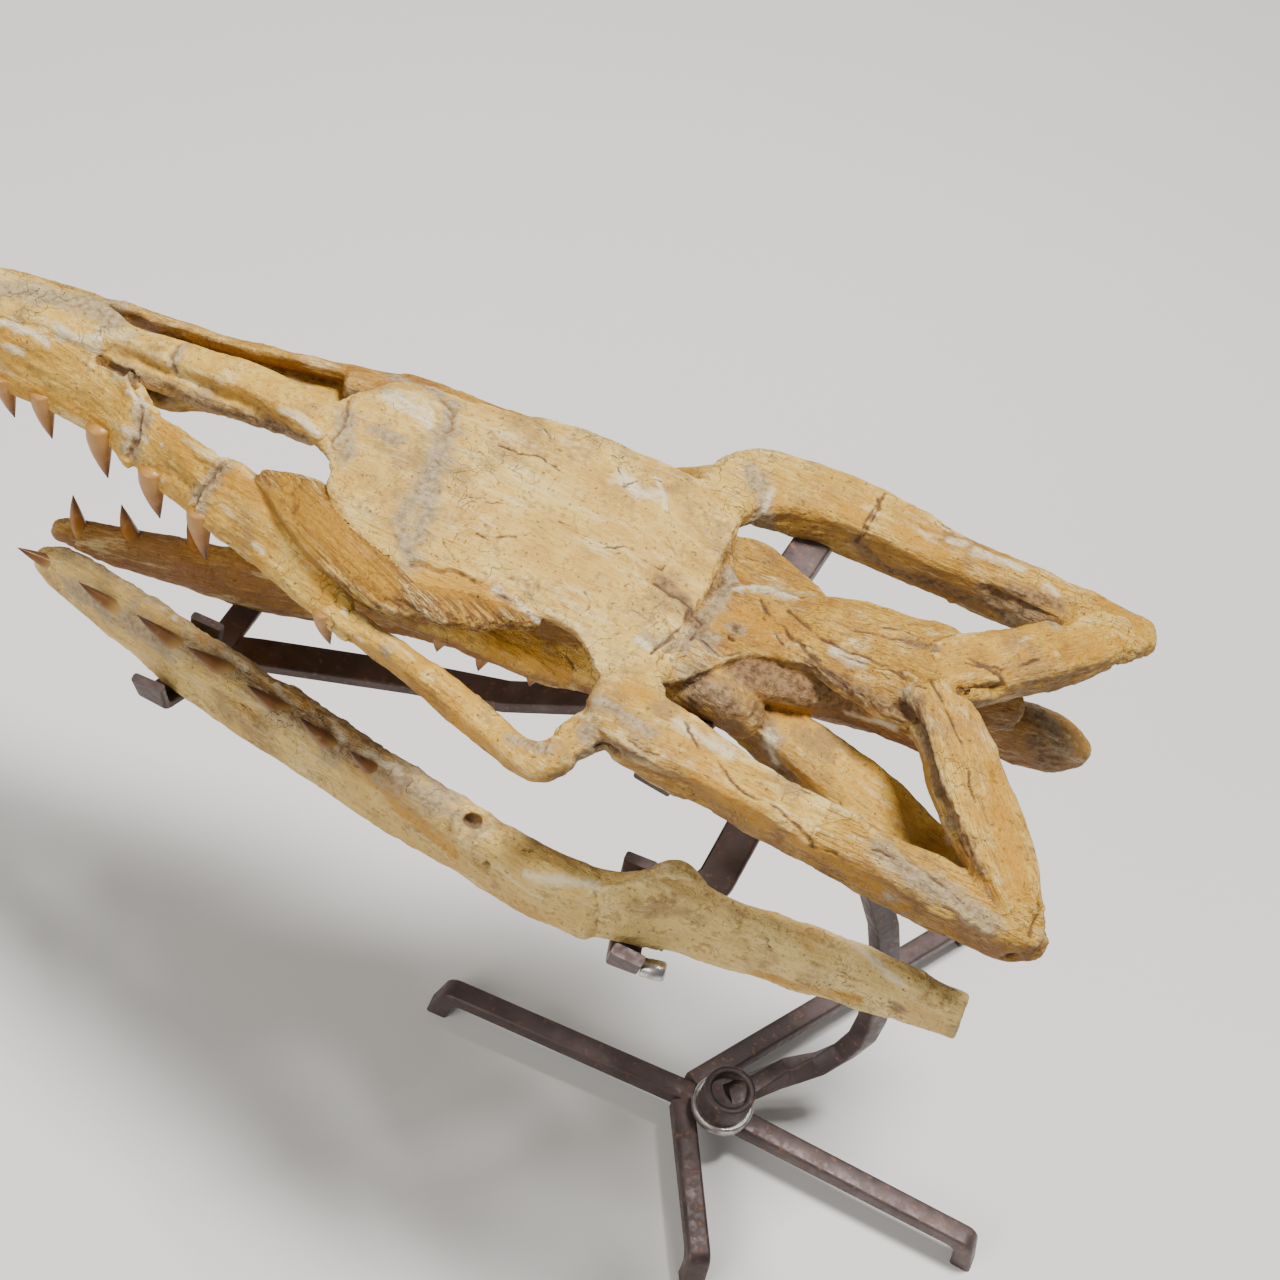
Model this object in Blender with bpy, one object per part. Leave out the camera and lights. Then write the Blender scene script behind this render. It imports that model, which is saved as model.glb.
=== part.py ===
# Slender-snouted mosasaur skull with its jaws, on a four-legged steel bar stand.
# X runs from the snout tip to the back of the skull, Y to the animal's right, Z up.
# All sizes below are in millimetres. The floor is at z = 0.
import bpy
import bmesh
import numpy as np
from math import cos, pi, radians, sin
from mathutils import Matrix, Vector

MM = 0.001
ROOF_HEIGHT = 350.0      # height of the skull roof's level over the floor
CENTRE_X = -103.69       # middle of the object's length, along the skull's own X
CENTRE_Y = 23.69         # middle of its width
GAP = 0.3                # gap between touching pieces
BAR = 11.0               # side of the stand's square steel bar
TOOTH_SIDES = 6

BONE = (0.66, 0.47, 0.24, 1.0)
CREAM = (0.72, 0.56, 0.33, 1.0)
BROWN = (0.42, 0.26, 0.13, 1.0)
STEEL = (0.09, 0.065, 0.06, 1.0)
SILVER = (0.45, 0.43, 0.42, 1.0)

for old in list(bpy.data.objects):
    bpy.data.objects.remove(old)

scene = bpy.context.scene
parts = bpy.data.collections.new("mosasaur_skull")
scene.collection.children.link(parts)
cutters = bpy.data.collections.new("cutters")
scene.collection.children.link(cutters)
cutters.hide_render = True


# ---------------------------------------------------------------- helpers
def material(name, colour, roughness, metallic=0.0):
    made = bpy.data.materials.new(name)
    made.use_nodes = True
    shader = made.node_tree.nodes["Principled BSDF"]
    shader.inputs["Base Color"].default_value = colour
    shader.inputs["Roughness"].default_value = roughness
    shader.inputs["Metallic"].default_value = metallic
    made.diffuse_color = colour
    return made


def smooth_rows(rows, per_span):
    """Rows of numbers with Catmull-Rom rows between them."""
    rows = np.array(rows, float)
    padded = np.vstack([2 * rows[0] - rows[1], rows, 2 * rows[-1] - rows[-2]])
    made = []
    for i in range(len(rows) - 1):
        a, b, c, d = padded[i : i + 4]
        for k in range(per_span):
            t = k / per_span
            made.append(
                0.5 * (2 * b + (c - a) * t + (2 * a - 5 * b + 4 * c - d) * t * t
                       + (3 * b - a - 3 * c + d) * t ** 3)
            )
    made.append(rows[-1])
    return np.array(made)


def superellipse(sides, power):
    """Points of a rounded section of half-size 1."""
    ring = []
    for k in range(sides):
        angle = 2 * pi * (k + 0.5) / sides
        c, s = cos(angle), sin(angle)
        ring.append((np.sign(c) * abs(c) ** (2 / power), np.sign(s) * abs(s) ** (2 / power)))
    return np.array(ring)


def mesh_object(name, points, faces, collection=None):
    mesh = bpy.data.meshes.new(name)
    mesh.from_pydata([tuple(p) for p in points], [], faces)
    work = bmesh.new()
    work.from_mesh(mesh)
    bmesh.ops.recalc_face_normals(work, faces=work.faces)
    bmesh.ops.triangulate(work, faces=work.faces)
    work.to_mesh(mesh)
    work.free()
    made = bpy.data.objects.new(name, mesh)
    (collection or cutters).objects.link(made)
    return made


def skin(name, rings, round_ends=(True, True)):
    """A closed body through rings of equal count."""
    sides = len(rings[0])
    rings = [np.array(r, float) for r in rings]
    for end, inner in ((0, 1), (-1, -2)):
        if not round_ends[end]:
            continue
        middle = rings[end].mean(axis=0)
        away = middle - rings[inner].mean(axis=0)
        reach = np.linalg.norm(rings[end] - middle, axis=1).min()
        away = away / max(np.linalg.norm(away), 1e-9) * reach * 0.55
        cap = middle + (rings[end] - middle) * 0.6 + away
        if end == 0:
            rings.insert(0, cap)
        else:
            rings.append(cap)
    points = np.vstack(rings)
    faces = []
    for i in range(len(rings) - 1):
        for k in range(sides):
            a, b = i * sides + k, i * sides + (k + 1) % sides
            faces.append((a, b, b + sides, a + sides))
    last = (len(rings) - 1) * sides
    faces.append(tuple(range(sides))[::-1])
    faces.append(tuple(range(last, last + sides)))
    return mesh_object(name, points * MM, faces)


def bar(name, rows, sides=10, power=2.6, per_span=1, ends=(True, True)):
    """A bone shaft. Each row holds x, y, z, half width, half height and roll in degrees."""
    rows = [tuple(r) + (0.0,) * (6 - len(r)) for r in rows]
    path = smooth_rows(rows, per_span)
    shape = superellipse(sides, power)
    rings = []
    for i, (x, y, z, wide, high, roll) in enumerate(path):
        before, after = path[max(i - 1, 0), :3], path[min(i + 1, len(path) - 1), :3]
        along = Vector(after - before).normalized()
        side = Vector((0, 0, 1)).cross(along).normalized()
        up = along.cross(side)
        turn = Matrix.Rotation(radians(roll), 3, along)
        side, up = turn @ side, turn @ up
        centre = np.array((x, y, z))
        rings.append([centre + np.array(side) * a * wide + np.array(up) * b * high
                      for a, b in shape])
    return skin(name, rings, ends)


def plate(name, rows, across=8, arch=2.2, edge=0.45, per_span=1, ends=(False, False)):
    """An arched plate. Each row holds x, left y, right y, left z, middle z, right z, depth."""
    rings = []
    for x, left, right, z_left, z_mid, z_right, depth in smooth_rows(rows, per_span):
        top, under = [], []
        for k in range(across + 1):
            u = 2 * k / across - 1
            side_z = z_left if u < 0 else z_right
            y = left + (right - left) * (u + 1) / 2
            z = z_mid + (side_z - z_mid) * abs(u) ** arch
            thick = depth * (1 - (1 - edge) * abs(u) ** 4)
            top.append((x, y, z))
            under.append((x, y, z - thick))
        rings.append(top + under[::-1])
    return skin(name, rings, ends)


def wall(name, rows, sides=10, power=3.0, per_span=1, ends=(True, True)):
    """A jaw wall. Each row holds its top edge, its tooth edge and its thickness."""
    rings = []
    path = smooth_rows(rows, per_span)
    shape = superellipse(sides, power)
    for i, row in enumerate(path):
        top, low, thick = row[:3], row[3:6], row[6]
        before, after = path[max(i - 1, 0)], path[min(i + 1, len(path) - 1)]
        along = Vector((after[:3] + after[3:6]) - (before[:3] + before[3:6])).normalized()
        tall = Vector(top - low)
        side = along.cross(tall).normalized()
        centre, half = (top + low) / 2, (top - low) / 2
        rings.append([centre + half * b + np.array(side) * a * thick / 2 for a, b in shape])
    return skin(name, rings, ends)


def tooth(name, base, point, radius, bend=(0.0, 0.0, 0.0)):
    """A curved cone from base to point."""
    base, point, bend = np.array(base, float), np.array(point, float), np.array(bend, float)
    along = Vector(point - base).normalized()
    side = along.orthogonal().normalized()
    other = along.cross(side)
    rings = []
    for t, share in ((0.0, 1.0), (0.5, 0.68), (0.95, 0.14)):
        centre = base + (point - base) * t + bend * 4 * t * (1 - t)
        rings.append([centre + (np.array(side) * cos(a) + np.array(other) * sin(a)) * radius * share
                      for a in [2 * pi * k / TOOTH_SIDES for k in range(TOOTH_SIDES)]])
    return skin(name, rings, (False, False))


def settled(obj):
    """Applies the object's modifiers, and closes the slits that a cut can leave."""
    graph = bpy.context.evaluated_depsgraph_get()
    mesh = bpy.data.meshes.new_from_object(obj.evaluated_get(graph))
    obj.modifiers.clear()
    obj.data = mesh
    work = bmesh.new()
    work.from_mesh(mesh)
    bmesh.ops.remove_doubles(work, verts=work.verts, dist=0.02 * MM)
    bmesh.ops.dissolve_degenerate(work, edges=work.edges, dist=0.01 * MM)
    open_edges = [edge for edge in work.edges if edge.is_boundary]
    if open_edges:
        bmesh.ops.holes_fill(work, edges=open_edges, sides=8)
    bmesh.ops.dissolve_limit(work, angle_limit=radians(0.5), verts=work.verts, edges=work.edges)
    bmesh.ops.triangulate(work, faces=work.faces)
    work.to_mesh(mesh)
    work.free()


def boolean(obj, other, kind):
    cut = obj.modifiers.new(kind.lower(), "BOOLEAN")
    cut.operation = kind
    cut.solver = "EXACT"
    cut.use_self = True
    cut.use_hole_tolerant = True
    cut.object = other
    bpy.context.view_layer.update()
    settled(obj)


def join(pieces):
    """The union of the pieces, in the first of them."""
    body = pieces[0]
    for piece in pieces[1:]:
        boolean(body, piece, "UNION")
        bpy.data.objects.remove(piece)
    return body


def swollen(obj, by):
    """A copy of the object, every point moved out along its normal."""
    copy = obj.copy()
    copy.data = obj.data.copy()
    cutters.objects.link(copy)
    work = bmesh.new()
    work.from_mesh(copy.data)
    work.normal_update()
    moved = [(v, v.co + v.normal * by * MM * max(1.0, min(v.calc_shell_factor(), 2.5)))
             for v in work.verts]
    for vertex, place in moved:
        vertex.co = place
    work.to_mesh(copy.data)
    work.free()
    return copy


def biggest_only(obj):
    """Drops the loose crumbs that a cut leaves."""
    work = bmesh.new()
    work.from_mesh(obj.data)
    left, bodies = set(work.verts), []
    while left:
        edge, body = [left.pop()], []
        while edge:
            vertex = edge.pop()
            body.append(vertex)
            for link in vertex.link_edges:
                near = link.other_vert(vertex)
                if near in left:
                    left.remove(near)
                    edge.append(near)
        bodies.append(body)

    def extent(body):
        places = np.array([v.co for v in body])
        return np.prod(places.max(axis=0) - places.min(axis=0) + 1e-6)

    bodies.sort(key=extent)
    for body in bodies[:-1]:
        bmesh.ops.delete(work, geom=body, context="VERTS")
    work.to_mesh(obj.data)
    work.free()


def fit_round(obj, neighbours):
    """Cuts the neighbours out of the object, with the gap between them."""
    low = np.array(obj.bound_box).min(axis=0) - 2 * MM
    high = np.array(obj.bound_box).max(axis=0) + 2 * MM
    for other in neighbours:
        places = np.array(other.bound_box)
        if (places.max(axis=0) < low).any() or (places.min(axis=0) > high).any():
            continue
        cutter = swollen(other, GAP)
        boolean(obj, cutter, "DIFFERENCE")
        bpy.data.objects.remove(cutter)
    biggest_only(obj)


def finish(obj, name, mat, smooth=True):
    obj.name = name
    obj.data.name = name
    obj.data.materials.clear()
    obj.data.materials.append(mat)
    for face in obj.data.polygons:
        face.use_smooth = smooth
        face.material_index = 0
    for held in list(obj.users_collection):
        held.objects.unlink(obj)
    parts.objects.link(obj)
    return obj


def steel_bar(name, points, wide=BAR, high=BAR, level=None, flat_foot=False):
    """A bent flat or square bar through the points, mitred at each bend."""
    points = [Vector(p) for p in points]
    along = (points[1] - points[0]).normalized()
    up = Vector(level or (0, 0, 1))
    side = up.cross(along).normalized()
    up = along.cross(side)
    ring = [points[0] + side * a * wide / 2 + up * b * high / 2
            for a, b in ((-1, -1), (1, -1), (1, 1), (-1, 1))]
    rings = [[np.array(p) for p in ring]]
    for i in range(1, len(points)):
        along = (points[i] - points[i - 1]).normalized()
        after = (points[i + 1] - points[i]).normalized() if i + 1 < len(points) else along
        face = (along + after).normalized()
        if flat_foot and i == len(points) - 1:
            face = Vector((0, 0, -1))
        ring = [p + along * ((points[i] - p).dot(face) / along.dot(face)) for p in ring]
        rings.append([np.array(p) for p in ring])
    return skin(name, rings, (False, False))


def cylinder(name, start, end, radius, sides=20):
    start, end = Vector(start), Vector(end)
    along = (end - start).normalized()
    side = along.orthogonal().normalized()
    other = along.cross(side)
    rings = [[np.array(p + (side * cos(a) + other * sin(a)) * radius)
              for a in [2 * pi * k / sides for k in range(sides)]] for p in (start, end)]
    return skin(name, rings, (False, False))


bone = material("bone", BONE, 0.7)
pale_bone = material("pale_bone", CREAM, 0.7)
dark_bone = material("dark_bone", BROWN, 0.75)
steel = material("steel", STEEL, 0.55, 0.6)
silver = material("silver", SILVER, 0.35, 0.9)

# ---------------------------------------------------------------- skull roof
FRONTAL = [
    (-203, -10, 13, 1, 5, 2, 6),
    (-196, -20, 26, 0, 6, 1, 7),
    (-188, -27, 38, -1, 7, 0, 7),
    (-172, -33, 43, -2, 8, 0, 8),
    (-155, -38, 44, -3, 8, 0, 8),
    (-137, -43, 49, -4, 7, 0, 8),
    (-115, -41, 54, -4, 6, 0, 8),
    (-95, -34, 56, -3, 5, -1, 8),
    (-80, -36, 56, -3, 4, -2, 8),
    (-68, -46, 57, -4, 2, -3, 8),
    (-56, -50, 58, -6, 0, -5, 8),
    (-45, -44, 52, -7, -1, -7, 8),
]
PARIETAL = [
    (-44.4, -38, 50, -7, -2, -9, 9),
    (-36, -30, 50, -6, -4, -9, 9),
    (-26, -16, 46, -5, -6, -9, 10),
    (-17, -9, 39, -5, -4, -7, 10),
    (-8, -7, 33, -4, -1, -4, 10),
    (2, -6, 32, -3, 2, -2, 11),
    (12, -9, 32, -2, 3, -1, 11),
    (27, -12, 34, -1, 6, -1, 11),
    (42, -14, 36, 0, 8, 1, 11),
    (55, -10, 31, 1, 8, 1, 10),
]
frontal = plate("frontal", FRONTAL)
parietal = plate("parietal", PARIETAL)
ramus_left = bar("ramus_left", [
    (46, -1, 2, 11, 8), (60, -14, 0, 12, 9), (72, -28, -3, 12.5, 9),
    (84, -42, -6, 12.5, 9), (95, -54, -9, 12, 9), (103, -63, -12, 9, 8),
])
ramus_right = bar("ramus_right", [
    (46, 11, 2, 12, 8), (58, 21, 0, 13, 9), (70, 33, -2, 13, 9),
    (82, 46, -5, 12.5, 9), (93, 60, -8, 12, 9), (101, 69, -10, 10, 8),
])
fit_round(parietal, [frontal])
fit_round(ramus_left, [parietal])
fit_round(ramus_right, [parietal, ramus_left])

premaxilla = bar("premaxilla", [
    (-395, 4, -23, 5, 7), (-384, 5, -20, 9, 10), (-366, 6, -18, 11, 10), (-346, 8, -16, 12, 9),
    (-326, 9.5, -14, 12.5, 8), (-309, 10, -12, 12, 7), (-297, 9, -11, 10.5, 6.5), (-286, 6, -8, 7.5, 5.5),
    (-264, 5.5, -4, 8.5, 5.5), (-242, 5, 0, 9.5, 5.5), (-220, 3.5, 2, 10.5, 5), (-199, 3, 2, 10.5, 4.5),
])
fit_round(premaxilla, [frontal])

prefrontal_left = bar("prefrontal_left", [
    (-214, -24, -8, 6, 4, 14), (-197, -29, -7, 11, 5, 16), (-177, -37, -7, 14, 5.5, 16),
    (-157, -44, -8, 13, 5.5, 14), (-139, -47, -9, 11, 5.5, 10), (-122, -43, -8, 8, 4.5, 6),
    (-107, -38, -7, 5, 4, 0),
])
prefrontal_right = bar("prefrontal_right", [
    (-205, 34, -7, 6, 5, -14), (-190, 39, -8, 9, 6, -18), (-172, 43, -10, 11, 7, -22),
    (-155, 45, -11, 10, 7, -20), (-138, 48, -11, 8, 6, -12), (-120, 50, -10, 5, 4.5, 0),
])
for side_bone in (prefrontal_left, prefrontal_right):
    fit_round(side_bone, [frontal, premaxilla])

MAXILLA_LEFT = [
    (-382, 0, -14, -382, -7, -33, 9),
    (-356, -1, -12, -356, -11, -38, 10),
    (-330, -1, -11, -330, -12, -40, 10),
    (-305, -1, -12, -303, -13, -39, 9),
    (-283, -3, -12, -279, -20, -37, 8),
    (-266, -12, -12, -262, -27, -36, 8),
    (-245, -19, -10, -238, -33, -35, 8),
    (-225, -22, -9, -212, -43, -33, 8),
    (-203, -28, -11, -190, -50, -32, 8),
    (-182, -40, -15, -172, -57, -31, 7),
    (-162, -50, -21, -157, -61, -30, 6),
]
MAXILLA_RIGHT = [
    (-382, 8, -14, -382, 17, -33, 7.6), (-356, 14, -12, -356, 27, -37, 8.5),
    (-330, 20, -11, -330, 33, -39, 8.5), (-302, 25, -10, -301, 38, -38, 7.6),
    (-277, 27, -9, -277, 41, -37, 6.8), (-251, 28, -6, -249, 45, -36, 6.8),
    (-227, 32, -4, -222, 51, -34, 6.8), (-206, 37, -5, -198, 56, -33, 6.8),
    (-186, 46, -9, -178, 61, -31, 6), (-164, 54, -15, -161, 66, -29, 5.1),
]


def upper_teeth(edge, places, out):
    """Teeth under a wall's tooth edge. Each has its x, its length and its radius."""
    made = []
    low = np.array(edge, float)[:, 3:6]
    for x, length, radius in places:
        root = np.array([np.interp(x, low[:, 0], low[:, k]) for k in range(3)]) + (0, 0, 4)
        point = root + (3, out * length * 0.2, -length - 4)
        made.append(tooth("tooth", root, point, radius, (-1.2, out * 0.8, 0)))
    return made


LEFT_TEETH = [(-376, 9, 3.0), (-354, 11, 3.2), (-329, 11, 3.4), (-311, 14, 4.0), (-283, 16, 4.2),
              (-256, 16, 4.2), (-231, 15, 4.0), (-169, 9, 3.4)]
RIGHT_TEETH = [(-376, 9, 3.0), (-352, 12, 3.2), (-334, 13, 3.6), (-308, 9, 3.8), (-286, 15, 4.2),
               (-250, 15, 4.2), (-227, 8, 3.8), (-205, 12, 3.6), (-182, 9, 3.2)]
maxilla_left = join([wall("maxilla_left", MAXILLA_LEFT)] + upper_teeth(MAXILLA_LEFT, LEFT_TEETH, -1))
maxilla_right = join([wall("maxilla_right", MAXILLA_RIGHT)]
                     + upper_teeth(MAXILLA_RIGHT, RIGHT_TEETH, 1))
fit_round(maxilla_left, [premaxilla, prefrontal_left, frontal])
fit_round(maxilla_right, [premaxilla, prefrontal_right, frontal, maxilla_left])

# ---------------------------------------------------------------- orbits and arcades
postorbital_left = join([
    bar("postorbital_left", [
        (-54, -44, -8, 12, 6), (-51, -56, -9, 14, 7), (-34, -58.5, -11, 13.5, 9.5),
        (-16, -61, -12, 11, 10), (4, -64, -13.5, 9.5, 10.5), (26, -65, -15, 9.5, 11),
    ]),
    bar("process", [(-50, -50, -9, 9, 6), (-58, -62, -12, 8, 6), (-66, -73, -16, 7, 6)]),
])
postorbital_right = join([
    bar("postorbital_right", [
        (-56, 54, -8, 12, 6), (-50, 67, -10, 15, 8), (-35, 76, -12, 15, 10),
        (-15, 80, -14, 13.5, 11.5), (5, 80, -15, 12.5, 12), (26, 80, -16, 11.5, 12),
    ]),
    bar("process", [(-50, 62, -10, 9, 6), (-58, 70, -16, 7.5, 6), (-67, 72, -22, 6.5, 6)]),
])
squamosal_left = bar("squamosal_left", [
    (20, -65, -14.5, 9, 10.5), (45, -65.5, -16, 9.5, 11), (67, -66, -17, 10.5, 11),
    (88, -67, -17, 10.5, 11), (102, -67.5, -17, 10.5, 10), (112, -68, -15, 7, 8),
])
squamosal_right = bar("squamosal_right", [
    (20, 80, -16, 11, 11.5), (45, 79, -16, 10.5, 12), (62, 78, -15, 10.5, 11),
    (80, 77, -14, 12, 10), (98, 77.5, -12, 10.5, 9), (111, 78, -10, 7, 7),
])
for arcade in (postorbital_left, postorbital_right):
    fit_round(arcade, [frontal, parietal])
fit_round(squamosal_left, [ramus_left, postorbital_left])
fit_round(squamosal_right, [ramus_right, postorbital_right])
jugal_left = bar("jugal_left", [
    (-168, -55, -27, 4, 6), (-148, -58, -28, 5, 6.5), (-130, -62, -28, 6, 6.5), (-112, -67, -28, 6.5, 6),
    (-95, -73.5, -27, 6.2, 6), (-81, -80, -24, 6.2, 6), (-72, -82, -20, 7, 6.5), (-66, -77, -16, 6.5, 6),
])
jugal_right = bar("jugal_right", [
    (-170, 60, -27, 4, 6), (-148, 61, -29, 5, 6), (-130, 63, -31, 5.5, 6), (-112, 66, -32, 5.5, 6),
    (-95, 69, -32, 5.5, 6), (-81, 72, -30, 6, 6), (-72, 73, -26, 6.5, 6), (-67, 73, -22, 6, 5),
], sides=8)
fit_round(jugal_left, [maxilla_left, prefrontal_left, postorbital_left])
fit_round(jugal_right, [maxilla_right, prefrontal_right, postorbital_right])

# ---------------------------------------------------------------- palate and braincase
braincase = join([
    bar("braincase", [
        (-6, 9, -19, 12, 9), (15, 9, -21, 13, 11), (38, 9, -21, 15, 12), (54, 9, -20, 14, 11),
    ]),
    bar("condyle", [(46, 10, -27, 8, 7), (62, 10, -28, 7.5, 6.5), (70, 10, -28, 7, 6)]),
])
fit_round(braincase, [parietal, ramus_left, ramus_right])
pterygoid_left = bar("pterygoid_left", [
    (-172, -40, -32, 6, 4), (-145, -34, -33, 9, 5), (-115, -31, -34, 9.5, 6), (-85, -29, -33, 8.5, 7),
    (-58, -27, -28, 8, 7.5), (-38, -25, -21, 9.5, 9), (-24, -24, -19, 11, 10.5), (-10, -23, -25, 9.5, 9),
    (6, -20, -30, 10, 9, 8), (26, -24, -34, 12.5, 9, 12), (46, -29, -38, 13.5, 8.5, 14),
    (66, -34, -41, 12.5, 7.5, 14), (84, -39, -43, 9, 5.5, 12), (93, -41, -43, 5, 4, 10),
], ends=(True, False))
pterygoid_right = bar("pterygoid_right", [
    (-172, 46, -34, 6, 4), (-145, 40, -36, 8, 5), (-115, 37, -36, 8.5, 5), (-85, 36, -34, 8, 5.5),
    (-58, 34, -28, 7.5, 6), (-38, 31, -22, 7.5, 6), (-10, 30, -25, 7, 6), (6, 32, -34, 6, 8),
    (26, 36, -43, 6, 13, -10), (46, 40, -45, 5, 14, -14), (66, 44, -46, 4.5, 13, -14),
    (84, 48, -46, 4, 10, -10),
], sides=8, ends=(True, False))
for under in (pterygoid_left, pterygoid_right):
    fit_round(under, [frontal, parietal, ramus_left, ramus_right, braincase, squamosal_left])

# ---------------------------------------------------------------- lower jaw
LEFT_JAW = [
    (-307, -28, -115, 2.5, 3), (-298, -29, -116, 5, 6), (-280, -32, -117, 7, 9.5),
    (-255, -37, -117, 8.5, 12.5), (-230, -44, -116, 10, 15), (-205, -49, -115, 10.5, 16),
    (-175, -56, -113, 10.5, 16), (-145, -62, -110, 10.5, 16), (-120, -68, -107.5, 10.5, 16),
    (-90, -74, -104, 10, 16.5), (-62, -79.5, -100, 9.5, 18), (-37, -80.5, -97, 9, 19),
]
LEFT_REAR = [
    (-45, -80, -97, 8, 16), (-28, -78, -95, 8.5, 19.5), (-13, -73.5, -92, 7.5, 23.5),
    (2, -71.5, -92, 7, 21.5), (20, -70.5, -91, 7, 20), (40, -69, -89, 7, 19), (62, -68, -87, 6.5, 18),
    (85, -67.5, -84, 6, 16.5), (107, -68, -81, 6, 15),
]
RIGHT_JAW = [
    (-309, -12, -115, 2.1, 3), (-299, -10, -116, 4.2, 6), (-280, -6, -117, 6, 9.5),
    (-252, 0, -117, 7.2, 13.5), (-222, 7, -115.5, 8.1, 16), (-190, 15, -113, 8.5, 17),
    (-155, 23, -110, 8.5, 17), (-120, 31, -107, 8.5, 17.5), (-90, 38, -104, 8.1, 18),
    (-58, 45, -101, 7.6, 18.5), (-37, 49, -99, 7.2, 19),
]
RIGHT_REAR = [
    (-44, 48, -99, 6.8, 17), (-26, 52, -98, 7.2, 20), (-8, 56, -97, 6.8, 21), (14, 60, -96, 6.4, 19.5),
    (40, 65, -94, 6.8, 17.5), (64, 70, -91, 7.6, 15), (84, 73, -89, 8.9, 13), (102, 76, -88, 9.3, 12),
    (114, 78, -88, 6.8, 8),
]
LOWER_LEFT = [(-301, 15, 3.0), (-262, 17, 3.8), (-236, 16, 4.0), (-213, 16, 4.0), (-184, 17, 4.2),
              (-160, 15, 4.0), (-138, 12, 3.8)]
LOWER_RIGHT = [(-298, 15, 3.2), (-277, 15, 3.6), (-248, 15, 4.0), (-222, 13, 4.0), (-196, 15, 4.0),
               (-170, 12, 4.0), (-146, 12, 3.8)]


def lower_teeth(rows, places, lean):
    """Teeth on a jaw's upper edge, leaning forward. Each has its x, its length and its radius."""
    made = []
    rows = np.array(rows, float)
    for x, length, radius in places:
        y, z, wide, high = [np.interp(x, rows[:, 0], rows[:, k]) for k in (1, 2, 3, 4)]
        root = np.array((x, y + lean * wide * 0.35, z + high * 0.75))
        point = root + (-length * 0.8, lean * length * 0.1, length * 0.55 + high * 0.25)
        made.append(tooth("tooth", root, point, radius, (1.5, 0, 1.0)))
    return made


dentary_left = join([bar("dentary_left", LEFT_JAW)] + lower_teeth(LEFT_JAW, LOWER_LEFT, -1))
dentary_right = join([bar("dentary_right", RIGHT_JAW, sides=8)] + lower_teeth(RIGHT_JAW, LOWER_RIGHT, 1))
coronoid = bar("coronoid", [(-22, -73, -77, 3, 6), (-12, -70, -70, 3.5, 6), (0, -70.5, -76, 3, 6)])
postdentary_left = join([bar("postdentary_left", LEFT_REAR, ends=(True, False)), coronoid])
postdentary_right = bar("postdentary_right", RIGHT_REAR, sides=8)
fit_round(dentary_right, [dentary_left])
fit_round(postdentary_left, [dentary_left])
fit_round(postdentary_right, [dentary_right])

# ---------------------------------------------------------------- stand
FLOOR = -ROOF_HEIGHT
LEG_TOP = FLOOR + 25.0
LEG_MID = LEG_TOP - BAR / 2
HUB = (28.0, -19.0)
SOCKET = (48.5, -22.0)
SOCKET_TOP = LEG_TOP + 24.0


def leg(name, angle, length, start=0.0):
    """A leg from the hub, its end bent down to a flat foot."""
    way = Vector((cos(radians(angle)), sin(radians(angle)), 0))
    hub = Vector((HUB[0], HUB[1], LEG_MID))
    out = hub + way * length
    foot = Vector((out.x, out.y, FLOOR)) + way * 4
    return steel_bar(name, [hub + way * start, out, foot], flat_foot=True)


leg_front = leg("leg_front", 181, 122, -BAR / 2)
leg_rear = leg("leg_rear", -3, 154)
leg_left = leg("leg_left", -63, 83)
leg_right = leg("leg_right", 57, 190)
fit_round(leg_rear, [leg_front])
fit_round(leg_left, [leg_front, leg_rear])
fit_round(leg_right, [leg_front, leg_rear, leg_left])
socket = cylinder("socket", (*SOCKET, LEG_TOP + GAP), (*SOCKET, SOCKET_TOP), 12.5)
collar = cylinder("collar", (*SOCKET, LEG_TOP + 3), (*SOCKET, LEG_TOP + 9), 15.0)
fit_round(collar, [socket])
crossbar = steel_bar("crossbar", [(-33.5, -64, -27), (-15.5, 80, -27)], 15, 11)
post = steel_bar("post", [
    (*SOCKET, LEG_TOP + 16), (71, 3, LEG_TOP + 17), (83, 10, LEG_TOP + 24), (91, 16, LEG_TOP + 35),
    (95, 18.5, LEG_TOP + 50), (94.5, 19, LEG_TOP + 68), (90.5, 18, LEG_TOP + 95),
    (84, 17.5, LEG_TOP + 125), (76, 15.5, LEG_TOP + 151), (66, 13, -151), (52, 9, -121),
    (34, 6, -92), (16, 5, -70), (0, 6, -54), (-12, 7, -44), (-26, 8, -34),
], 10, BAR)
fit_round(post, [socket, crossbar])
spine = steel_bar("spine", [(-22, 10, -36), (-44, 13, -66), (-76, 14, -108), (-110, 12, -128),
                            (-150, 8, -138), (-212, -14, -137), (-232, -21, -138)], 14, 6)
fit_round(spine, [crossbar, post])
arm = steel_bar("arm", [(20, 8, -78), (5, -14, -88), (2, -44, -104), (-13, -69, -122)], 15, 5)
fit_round(arm, [post])
rear_cradle = steel_bar("rear_cradle", [
    (-27.5, -58, -91), (-26, -60, -111), (-22, -70, -118), (-18, -88, -118), (-17, -91, -103),
], 5, 13, (1, 0, 0))
fit_round(rear_cradle, [arm, postdentary_left, dentary_left])
bolt = cylinder("bolt", (-11.0, -86, -116), (-1.5, -84.5, -115), 4.0, 8)
fit_round(bolt, [rear_cradle])
front_cradle = steel_bar("front_cradle", [
    (-230, -28, -108), (-230, -29, -132), (-233, -44, -134), (-237, -58, -132), (-238, -62, -115),
], 4, 14, (1, 0, 0))
fit_round(front_cradle, [dentary_left, spine])
front_rest = steel_bar("front_rest", [
    (-229, -26, -136), (-227, 3, -134.5), (-226, 14, -132.5), (-226, 18, -117),
], 4, 12, (1, 0, 0))
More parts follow.
